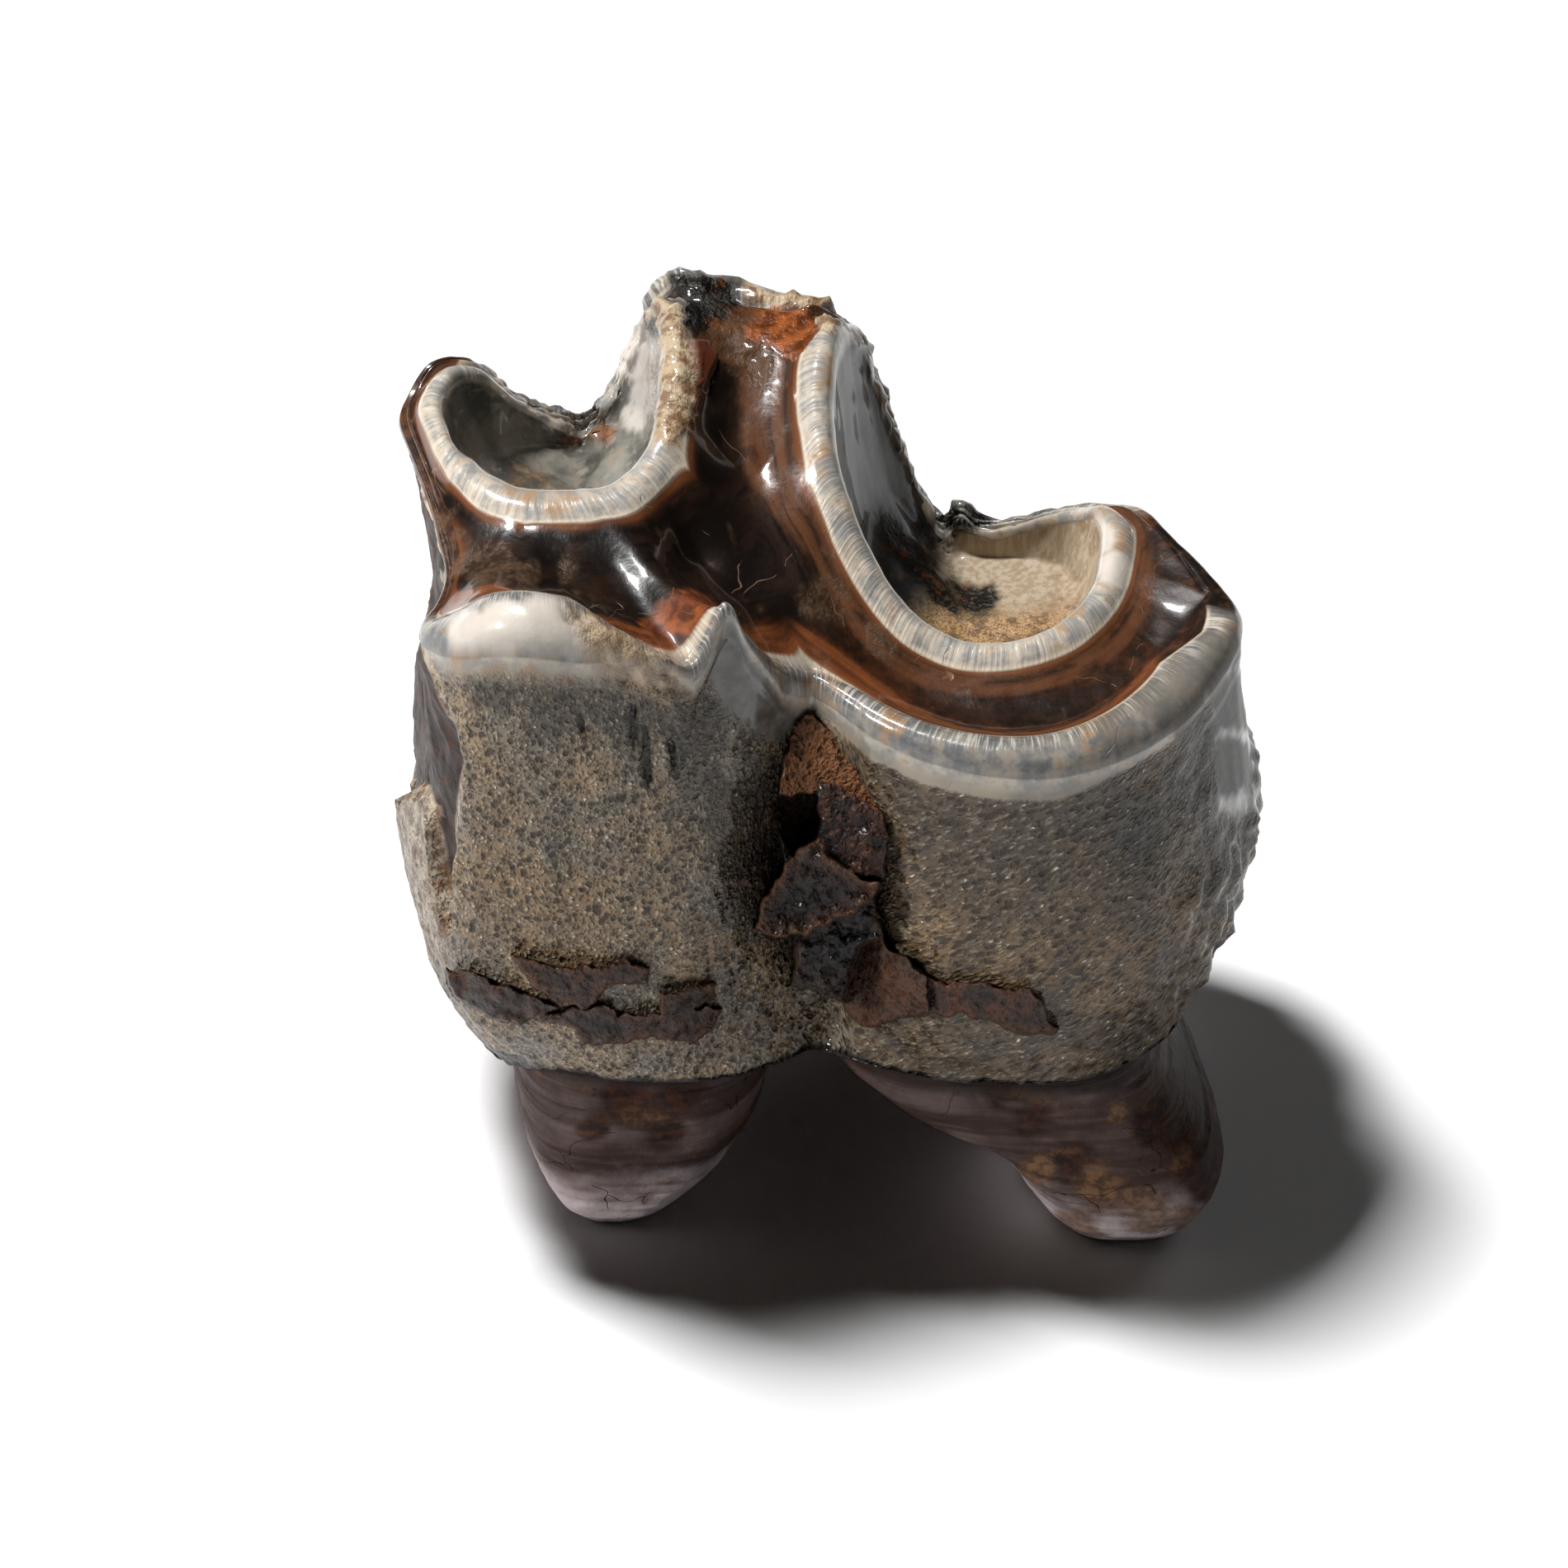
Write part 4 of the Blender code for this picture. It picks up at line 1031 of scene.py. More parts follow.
class Patches:
    """Grids of one piece, each with its place along and across and its named numbers."""

    def __init__(self, names):
        self.names = names
        self.points, self.values, self.triangles, self.corners = [], [], [], []
        self.count = 0

    def add(self, grid, along, across, away_from, closed=False, **numbers):
        """Append a grid whose triangles turn their backs to the point away_from.

        A quad's two triangles are corners 0, 1, 2 and 0, 2, 3. The UV of a corner is the
        pair (along, across); a closed grid has one more place along than it has columns.
        """
        rows, columns = grid.shape[:2]
        index = self.count + np.arange(rows * columns).reshape(rows, columns)
        across = np.broadcast_to(across, (rows, columns))
        if closed:
            index = np.hstack([index, index[:, :1]])
            across = np.hstack([across, across[:, :1]])
        along = np.broadcast_to(along, index.shape)
        place = np.stack([along, across], axis=-1)
        four = [(slice(0, -1), slice(0, -1)), (slice(0, -1), slice(1, None))]
        four += [(slice(1, None), slice(1, None)), (slice(1, None), slice(0, -1))]
        flat = grid.reshape(-1, 3)
        for corner in ((0, 1, 2), (0, 2, 3)):
            triangles = np.stack([index[four[k]] for k in corner], axis=-1).reshape(-1, 3)
            places = np.stack([place[four[k]] for k in corner], axis=-2).reshape(-1, 3, 2)
            a, b, c = (flat[triangles[:, k] - self.count] for k in range(3))
            outward = np.einsum("ij,ij->i", np.cross(b - a, c - a), a + b + c - 3 * away_from)
            if outward.sum() < 0:
                triangles, places = triangles[:, ::-1], places[:, ::-1]
            self.triangles.append(triangles)
            self.corners.append(places)
        self.points.append(flat)
        table = np.zeros((rows * columns, len(self.names)))
        for column, name in enumerate(self.names):
            if name in numbers:
                table[:, column] = np.broadcast_to(numbers[name], (rows, columns)).ravel()
        self.values.append(table)
        self.count += rows * columns

    def weld(self):
        """Points closer than a thousandth become one, and triangles without area go."""
        points = np.vstack(self.points)
        rounded = np.round(points * 1000).astype(np.int64)
        _, first, inverse = np.unique(rounded, axis=0, return_index=True, return_inverse=True)
        triangles = inverse.reshape(-1)[np.vstack(self.triangles)]
        a, b, c = triangles.T
        kept = (a != b) & (b != c) & (c != a)
        values = np.vstack(self.values)[first]
        numbers = {name: values[:, column] for column, name in enumerate(self.names)}
        return points[first], triangles[kept], np.vstack(self.corners)[kept], numbers


def vertex_normals(points, triangles):
    """Unit normals at points: the triangles' cross products summed round each point."""
    a, b, c = (points[triangles[:, k]] for k in range(3))
    cross = np.cross(b - a, c - a)
    normals = np.zeros_like(points)
    for axis in range(3):
        for corner in range(3):
            normals[:, axis] += np.bincount(
                triangles[:, corner], weights=cross[:, axis], minlength=len(points)
            )
    return normals / np.maximum(np.linalg.norm(normals, axis=1), 1e-12)[:, None]


def relax(points, triangles, weight, rounds):
    """Move each point its weight's share towards the average of its neighbours, repeatedly."""
    edges = np.vstack([triangles[:, [0, 1]], triangles[:, [1, 2]], triangles[:, [2, 0]]])
    edges = edges[weight[edges[:, 0]] > 0]
    count = np.bincount(edges[:, 0], minlength=len(points)).astype(float)
    points = points.copy()
    for _ in range(rounds):
        for axis in range(3):
            beside = points[edges[:, 1], axis]
            total = np.bincount(edges[:, 0], weights=beside, minlength=len(points))
            points[:, axis] += weight * (total / np.maximum(count, 1) - points[:, axis])
    return points


def make_piece(name, points, triangles, corners, numbers, material):
    """Object of a welded mesh in metres, with its band UV map and its named numbers."""
    mesh = bpy.data.meshes.new(name)
    mesh.vertices.add(len(points))
    mesh.vertices.foreach_set("co", ((points - MIDDLE) * MM).ravel())
    mesh.loops.add(triangles.size)
    mesh.loops.foreach_set("vertex_index", triangles.ravel().astype(np.int32))
    mesh.polygons.add(len(triangles))
    mesh.polygons.foreach_set("loop_start", np.arange(0, triangles.size, 3, dtype=np.int32))
    mesh.update(calc_edges=True)
    uv = mesh.uv_layers.new(name="band")
    uv.data.foreach_set("uv", np.ascontiguousarray(corners, dtype=np.float32).ravel())
    for value_name, values in numbers.items():
        layer = mesh.attributes.new(value_name, "FLOAT", "POINT")
        layer.data.foreach_set("value", values.astype(np.float32))
    mesh.shade_smooth()
    mesh.materials.append(material)
    piece = bpy.data.objects.new(name, mesh)
    bpy.context.scene.collection.objects.link(piece)
    return piece


# The crown


def crown_patches():
    """All the crown's grids: six half bands, the outer wall, the underside and two basins."""
    left, right, ridge = (np.array(rows, float) for rows in (LEFT_BAND, RIGHT_BAND, RIDGE))
    left_at = crowded_places(left, LEFT_COLUMNS)
    right_at = crowded_places(right, RIGHT_COLUMNS)
    ridge_at = crowded_places(ridge, RIDGE_COLUMNS)
    left_end, right_end, ridge_end = len(left) - 1, len(right) - 1, len(ridge) - 1

    outer_points = np.vstack([left[:, :3], right[-2:0:-1, :3]])
    left_points = np.vstack([left[:, 3:6], ridge[-2:0:-1, :3]])
    right_points = np.vstack([right[:, 3:6], ridge[-2:0:-1, 3:]])

    def loop(points, first_at, second_at, first_end, second_end):
        """Closed edge read at the columns of the two bands that it borders."""
        back = first_end + second_end - second_at[-2:0:-1]
        return read_curve(points, np.concatenate([first_at, back]))

    outer = loop(outer_points, left_at, right_at, left_end, right_end)
    left_rim = loop(left_points, left_at, ridge_at, left_end, ridge_end)
    right_rim = loop(right_points, right_at, ridge_at, right_end, ridge_end)

    def sides(closed_loop, first_count, inward):
        """The loop's two stretches, each from the front meeting to the back one."""
        even = evened(closed_loop, closed_loop[:, 2], EVENED_LENGTH)
        inward = evened(closed_loop, inward, EVENED_TURNS)
        inward /= np.linalg.norm(inward, axis=1)[:, None]
        length, whole = loop_lengths(closed_loop)
        first = np.arange(first_count + 1)
        second = np.concatenate([[0], np.arange(len(closed_loop) - 1, first_count - 1, -1)])
        lengths = length[first], np.concatenate([[whole], length[second[1:]]])
        return [
            (closed_loop[at], inward[at], even[at], along)
            for at, along in zip((first, second), lengths)
        ]

    outer_left, outer_right = sides(outer, LEFT_COLUMNS, -inward_normals(outer))
    basin_left, ridge_left = sides(left_rim, LEFT_COLUMNS, inward_normals(left_rim))
    basin_right, ridge_right = sides(right_rim, RIGHT_COLUMNS, -inward_normals(right_rim))

    def read_shape(at, table):
        """Rim width, drops and crest place at fractional rows of a band."""
        rows, *columns = zip(*table)
        return [np.interp(at, rows, column) for column in columns]

    left_cover = np.interp(left_at, np.arange(left_end + 1), left[:, 6])
    right_cover = np.interp(right_at, np.arange(right_end + 1), right[:, 6])
    ridge_cover = np.ones(len(ridge_at))
    plain_right, plain_ridge = (read_shape(0 * at, PLAIN_RIM) for at in (right_at, ridge_at))
    rims = (
        (read_shape(left_at, LEFT_RIM), read_shape(left_at, LEFT_BASIN_RIM)),
        (read_shape(right_at, RIGHT_RIM), plain_right),
        (plain_ridge, plain_ridge),
    )
    bands = (
        (outer_left, basin_left, left_cover, *rims[0]),
        (outer_right, basin_right, right_cover, *rims[1]),
        (ridge_left, ridge_right, ridge_cover, *rims[2]),
    )
    below, above = np.array([0.0, 0.0, -FAR]), np.array([0.0, 0.0, FAR])
    patches = Patches((*BAND_NUMBERS, "floor"))
    tops = []
    for first, second, cover, rim_shape, basin_shape in bands:
        middle = middle_line(first[0], second[0], cover)
        is_outer = float(cover is not ridge_cover)
        halves = (
            (first, cover, rim_shape, is_outer, OUTER_FADING if is_outer else RIM_FADING),
            (second, np.ones(len(cover)), basin_shape, 0.0, RIM_FADING),
        )
        for side, side_cover, shape, outer_side, fading in halves:
            grid, far_in = half_band(side, middle, side_cover, shape, fading)
            across = far_in + shape[0]
            patches.add(
                grid, side[3], across, below, inward=far_in, cover=side_cover, outer=outer_side
            )
            tops.append(grid[0, :, 2])

    def around(first, second):
        """Values of a closed edge, from those of its two stretches."""
        return np.concatenate([first, second[-2:0:-1]])

    def closed_lengths(closed_loop):
        """Lengths along a closed edge, with the whole length at its end."""
        return np.append(*loop_lengths(closed_loop))

    top = around(tops[0], tops[2])
    wall, broken = crown_wall(outer, top)
    down = top - wall[:, :, 2]
    lengths = closed_lengths(outer)
    axis = np.append(AXIS, BELLY)
    outside = {"down": down, "bare": broken, "inward": -RIM_WIDTH, "cover": 1.0}
    patches.add(wall, lengths, -down, axis, True, **outside)
    underside = crown_underside(wall[0])
    outside = {"down": UNDERSIDE_DOWN, "inward": -RIM_WIDTH}
    patches.add(underside, lengths, -UNDERSIDE_DOWN, above, True, **outside)
    pits = (
        ("left_pit", left_rim, around(tops[1], tops[4]), LEFT_FLOOR),
        ("right_pit", right_rim, around(tops[3], tops[5]), RIGHT_FLOOR),
    )
    for name, rim, edge_top, floor in pits:
        grid = basin(rim, edge_top, floor)
        down = edge_top - grid[:, :, 2]
        inside = {name: ease(np.linspace(0, 1, len(grid)) * 40)[:, None]}
        inside |= {"down": down, "inward": -RIM_WIDTH, "cover": 1.0}
        inside["floor"] = ease((np.linspace(0, 1, len(grid)) - 0.45) / 0.35)[:, None]
        patches.add(grid, closed_lengths(rim), -down, below, True, **inside)
    return patches, wall


def near_line(points, start, end, radius):
    """1 on a straight line between two places, falling smoothly to 0 at the radius."""
    start, end = np.array(start), np.array(end)
    run = end - start
    share = np.clip((points - start) @ run / (run @ run), 0, 1)
    gap = np.linalg.norm(points - start - share[:, None] * run, axis=1)
    return ease(1.3 * (1 - gap / radius))


def smooth_meetings(points, triangles, numbers):
    """Even out the creases where the bands meet, off the enamel rims, and the basin floors."""
    weight = np.max([near_line(points, *line) for line in MEETING_LINES], axis=0)
    weight *= ease((numbers["inward"] + 0.3) / 1.0)
    weight = 0.9 * np.maximum(weight, numbers["floor"])
    return relax(points, triangles, weight, MEETING_ROUNDS)


def marks(points, normals):
    """Shares of the marks given by outline or by spots in the picture, with ragged borders."""
    across, down = picture_place(points)
    wobble = lumps(points, "mark borders")
    fine = lumps(points, "fine borders")
    facing = ease(0.5 + 3.0 * (normals @ TOWARDS_CAMERA))
    shares = {}
    for name, outlines in MARKS.items():
        softness = MARK_SOFTNESS.get(name, PLAIN_SOFTNESS)
        stray = max(LEAST_STRAY, 0.5 * softness)
        moved = across + stray * wobble, down + stray * fine
        depths = [outline_depth(*moved, line) for line in outlines]
        shares[name] = ease(np.max(depths, axis=0) / softness + 0.5) * facing
    for name, (places, ragged) in SPOTS.items():
        value = spots(across, down, places) + ragged * (0.7 * wobble + 0.5 * fine)
        shares[name] = ease((value - 0.25) / 0.5) * facing
    shares["dark"] = spots(across, down, DARKEST)
    shares["dust"] *= ease((normals[:, 2] - 0.1) / 0.4)
    shares["shade"] *= ease((2.0 - points[:, 1]) / 2.0)
    shares["chip"] *= ease(points[:, 2] - 16.0)
    return shares


def wall_relief(points, numbers, outside):
    """Outer wall: long waves, then pits and grit below the smooth band, and the fissures."""
    down, intact = numbers["down"], 1 - numbers["bare"]
    smooth_depth = 1.8 + 0.3 * ease((points[:, 0] - 3.0) / 2.0)
    rough = outside * ease((down - smooth_depth) / 0.8) * intact * (1 - numbers["glaze"])
    pits = ease(cells(points, "wall pits") / 0.7) - 0.7
    lift = 0.16 * lumps(points, "wall waves") * outside * intact
    lift += rough * (0.12 * pits + 0.16 * lumps(points, "wall grit"))
    lift -= rough * (0.4 * numbers["fissure"] - 0.12 * lumps(points, "wall swells"))
    return lift - 0.12 * ease((down - smooth_depth) / 0.5) * outside * intact


def end_relief(points, normals, numbers, outside):
    """Both ends: rippled, shell-like breaks at the left and low knots at the right."""
    shells = 0.3 * cells(points + 0.8 * normals, "shells")
    ripples = 0.5 * np.abs(lumps(points, "shell ripples"))
    lift = numbers["bare"] * (shells - ripples + 0.06 * lumps(points, "shell grit"))
    right_end = ease((points[:, 0] - 22.5) / 2.0) * outside
    low = ease((28.5 - points[:, 2]) / 1.5) * ease((points[:, 2] - 15.0) / 3.0)
    return lift + right_end * low * 0.9 * (0.75 - 0.9 * cells(points, "end knots"))


def top_relief(points, numbers, in_pit):
    """Worn top and basins: low waves, torn edges, and the lumps of each mark."""
    down, inward = numbers["down"], numbers["inward"]
    on_top = down < 0.01
    dentine = ease(inward / 0.6) * (1 - in_pit) * on_top
    waves = 0.09 * lumps(points, "dentine waves") + 0.015 * lumps(points, "dentine grit")
    rim = on_top * ease(-inward / 0.3)
    knobs = cells(points, "knobs")
    rugged = 0.32 * (0.6 - knobs) + 0.22 * lumps(points, "torn grit")
    at_back = ease((points[:, 1] - 9.0) / 2.0)
    torn = at_back * ease((2.0 - down) / 1.5) * ease((0.4 - inward) / 0.6)
    lift = dentine * waves + rim * 0.07 * lumps(points, "rim waves")
    lift += torn * (1.2 * rugged + 0.35 * lumps(points, "torn waves"))
    lift += numbers["grainy"] * 0.8 * rugged
    lift += numbers["rough_rim"] * (1.1 * rugged - 0.25)
    lift += numbers["stain"] * rim * (0.5 * rugged - 0.25)
    lift -= numbers["hollow"] * (0.25 + 0.3 * lumps(points, "hollow waves"))
    lift += numbers["facet"] * (0.45 * cells(points, "facets") - 0.35)
    lift += numbers["knob"] * 0.5
    lift += numbers["crusty"] * in_pit * (0.5 - 0.5 * knobs)
    lift += numbers["floor"] * (0.30 * lumps(points, "sand waves") + 0.10)
    return lift + in_pit * 0.10 * lumps(points, "basin waves")


def weather(points, normals, numbers):
    """Lengths to move the crown's points by along their normals: what wear and decay left."""
    in_pit = np.maximum(numbers["left_pit"], numbers["right_pit"])
    outside = ease(numbers["down"] / 0.8) * (1 - in_pit) * (numbers["down"] < WALL_DOWN)
    lift = wall_relief(points, numbers, outside)
    lift += end_relief(points, normals, numbers, outside)
    return lift + top_relief(points, numbers, in_pit)


def make_crown(material):
    """The worn crown: bands, wall and basins welded into one closed piece."""
    patches, wall = crown_patches()
    points, triangles, corners, numbers = patches.weld()
    points = smooth_meetings(points, triangles, numbers)
    inside = 0.8 * ease((numbers["inward"] - 0.8) / 1.2)
    for name in ("inward", "outer"):
        contours = np.repeat(numbers[name][:, None], 3, axis=1)
        numbers[name] = relax(contours, triangles, inside, CONTOUR_ROUNDS)[:, 0]
    normals = vertex_normals(points, triangles)
    numbers |= marks(points, normals)
    points = points + normals * weather(points, normals, numbers)[:, None]
    return make_piece("crown", points, triangles, corners, numbers, material), CheekWall(wall)


# The roots


def root_surface(rings, skew):
    """Level superellipses |x/a|^n + |y/b|^n = 1 through the rings, closed at both ends."""
    levels = read_curve(rings, np.linspace(0, len(rings) - 1, ROOT_ROWS + 1), closed=False)
    turn = np.linspace(0, 2 * math.pi, ROOT_COLUMNS, endpoint=False)
    power = 2.0 / ROOT_SQUARENESS
    unit_x = np.sign(np.cos(turn)) * np.abs(np.cos(turn)) ** power
    unit_y = np.sign(np.sin(turn)) * np.abs(np.sin(turn)) ** power
    height, middle_x, middle_y, half_x, half_y = (levels[:, k][:, None] for k in range(5))
    plan_x = middle_x + half_x * unit_x
    plan_y = middle_y + half_y * unit_y
    plan_x = plan_x + skew * (plan_y - ROOT_FRONT)
    grid = np.stack([plan_x, plan_y, np.broadcast_to(height, plan_x.shape)], axis=-1)
    ends = [np.broadcast_to(row.mean(axis=0), row.shape) for row in (grid[0], grid[-1])]
    return np.concatenate([ends[0][None], grid, ends[1][None]])


def make_root(name, rings, skew, seed, material):
    """One root: a closed stack of levels with raised growth rings and a few dents."""
    grid = root_surface(rings, skew)
    girth = 2 * (rings[0][3] + rings[0][4]) * 1.8
    inside = np.array([rings[1][1], rings[1][2], ROOT_CORE])
    patches = Patches(("level",))
    level = grid[:, :, 2]
    around = np.linspace(0, girth, ROOT_COLUMNS + 1)
    patches.add(grid, around, level, inside, closed=True, level=level)
    points, triangles, corners, numbers = patches.weld()
    normals = vertex_normals(points, triangles)
    side = ease((0.75 - np.abs(normals[:, 2])) / 0.4) * ease((points[:, 2] - 0.4) / 1.0)
    wave = points[:, 2] + 0.5 * soft_noise(points, (5.0, 5.0, 3.0), seed, 2)
    lift = 0.02 * np.sin(2 * math.pi * wave / FINE_RING_HEIGHT)
    for place, width, rise in GROWTH_RINGS:
        lift += rise * np.exp(-((wave - place) / width) ** 2)
    lift += 0.12 * soft_noise(points, (2.6, 2.6, 1.6), seed + 3, 3)
    points = points + normals * (side * lift)[:, None]
    points[:, 2] = np.maximum(points[:, 2], 0.0)
    across, down = picture_place(points)
    ragged = 0.8 * soft_noise(points, (2.4, 2.4, 1.4), seed + 7, 3)
    for mark, places in (("red", ROOT_RED_AND_SHADE), ("tan", ROOT_TAN)):
        numbers[mark] = ease((spots(across, down, places) + ragged - 0.15) / 0.7)
    return make_piece(name, points, triangles, corners, numbers, material)


# The cement crust


class CheekWall:
    """Depth (y) of the smooth cheek wall, by the place along the jaw and the height."""

    def __init__(self, wall):
        """Read the wall's rows at even steps along the jaw, then each step at even heights."""
        angle = np.arctan2(wall[0, :, 1], wall[0, :, 0] - AXIS[0])
        order = np.argsort(angle)
        order = order[(angle[order] > CHEEK_START) & (angle[order] < CHEEK_END)]
        self.x = np.arange(*CHEEK_ALONG, CHEEK_STEP)
        self.z = np.arange(*CHEEK_HEIGHTS, CHEEK_STEP)
        rows = []
        for row in wall[:, order]:
            x = np.maximum.accumulate(row[:, 0])
            rows.append([np.interp(self.x, x, row[:, 1]), np.interp(self.x, x, row[:, 2])])
        depth, height = np.array(rows).transpose(1, 2, 0)
        self.y = np.array([np.interp(self.z, h, d) for h, d in zip(height, depth)])

    def depth(self, x, z):
        """Bilinear reading of the grid of depths."""
        across = np.clip((x - self.x[0]) / CHEEK_STEP, 0, len(self.x) - 1.001)
        up = np.clip((z - self.z[0]) / CHEEK_STEP, 0, len(self.z) - 1.001)
        i, j = across.astype(int), up.astype(int)
        a, b = across - i, up - j
        low = self.y[i, j] * (1 - a) + self.y[i + 1, j] * a
        high = self.y[i, j + 1] * (1 - a) + self.y[i + 1, j + 1] * a
        return low * (1 - b) + high * b

    def seen_at(self, across, down):
        """Point of the wall at a place of the picture, found in a few closer and closer steps."""
        depth = np.full(np.shape(across), CHEEK_GUESS)
        for _ in range(SEEN_ROUNDS):
            point = at_depth(across, down, depth)
            depth = 0.5 * depth + 0.5 * self.depth(point[..., 0], point[..., 2])
        return at_depth(across, down, depth)


def make_sheet(name, front, back, step, material, numbers):
    """Closed piece between a front grid and a back grid that meet where the cover is 0.

    Where they meet, their triangles lie back to back on the same three points, and both go.
    """
    rows, columns = front.shape[:2]
    inside = front.reshape(-1, 3).mean(axis=0) + np.array([0.0, FAR, 0.0])
    behind = back.reshape(-1, 3).mean(axis=0) - np.array([0.0, FAR, 0.0])
    along = np.arange(columns) * step
    across = (np.arange(rows) * step)[:, None]
    patches = Patches(tuple(numbers))
    patches.add(front, along, across, inside, **numbers)
    patches.add(back, along, across, behind, **numbers)
    points, triangles, corners, values = patches.weld()
    corner_sets = np.sort(triangles, axis=1)
    _, which, count = np.unique(corner_sets, axis=0, return_inverse=True, return_counts=True)
    kept = count[which.reshape(-1)] == 1
    used, first_use = np.unique(triangles[kept], return_inverse=True)
    values = {key: value[used] for key, value in values.items()}
    triangles = first_use.reshape(-1, 3)
    return make_piece(name, points[used], triangles, corners[kept], values, material)


def lay_layers(box, wall, layers, seed):
    """Front and back grids of cement laid in layers, each inside its outline in the picture.

    A layer follows the groove's depth where it says so, and else the wall's; its offset
    brings it forwards. Later layers lie over earlier ones. Each layer brings its share of
    tan and rust, which the material reads.
    """
    left, top, right, bottom = box
    columns, rows = np.arange(left, right, LAYER_STEP), np.arange(top, bottom, LAYER_STEP)
    across, down = np.meshgrid(columns, rows)
    ground = wall.seen_at(across, down)
    flat = np.stack([across, down, np.zeros_like(across)], axis=-1).reshape(-1, 3) / UNITS_PER_MM
    ragged = soft_noise(flat, 1.1, seed, 3).reshape(across.shape)
    shift = soft_noise(flat, 0.8, seed + 5, 2).reshape(across.shape)
    knobs = 0.55 - cell_distance(flat, 0.85, seed + 9).reshape(across.shape)
    grit = soft_noise(flat, 0.3, seed + 13, 2).reshape(across.shape)
    moved = (across + LAYER_STRAY * ragged).ravel(), (down + LAYER_STRAY * shift).ravel()
    depth = ground[..., 1] + SUNK
    tan, rust, cover = np.zeros_like(depth), np.zeros_like(depth), np.zeros_like(depth)
    for layer in layers:
        look = PLAIN_LAYER | layer
        inside = outline_depth(*moved, look["outline"]).reshape(across.shape)
        share = ease(inside / 4.0 + 0.5)
        within = np.clip(inside, 0, None)
        base = np.interp(down, *zip(*GROOVE_DEPTH)) if look["in_groove"] else ground[..., 1]
        lip = look["lip"] * np.exp(-within / 9.0)
        relief = look["lumps"] * (knobs + 0.35 * ragged) + 0.06 * grit
        surface = base - look["offset"] - lip - relief
        depth = depth + (surface - depth) * share
        cover = np.maximum(cover, share)
        tan = tan + (look["tan"] - tan) * share
        tan = np.maximum(tan, look["tan_edge"] * share * np.exp(-within / 7.0))
        rust = rust + (look["rust"] * ease(0.5 + 1.5 * ragged) - rust) * share
    front = at_depth(across, down, depth)
    behind = np.maximum(ground[..., 1] + SUNK, depth) + SUNK * cover
    back = at_depth(across, down, np.where(cover > 0, behind, depth))
    return front, back, {"tan": tan, "rust": rust, "cover": cover}


def make_cement(wall, material):
    """The crust in the groove and the flakes low on both lobes."""
    pieces = []
    for name, box, layers, seed in CEMENT:
        front, back, numbers = lay_layers(box, wall, layers, seed)
        step = LAYER_STEP / UNITS_PER_MM
        pieces.append(make_sheet(name, front, back, step, material, numbers))
    return pieces


# Materials


def paint(red, green, blue):
    """Colour from the usual 0 to 255 screen numbers, as linear light."""
    shares = [value / 255 for value in (red, green, blue)]
    linear = [v / 12.92 if v <= 0.04045 else ((v + 0.055) / 1.055) ** 2.4 for v in shares]
    return (*linear, 1.0)


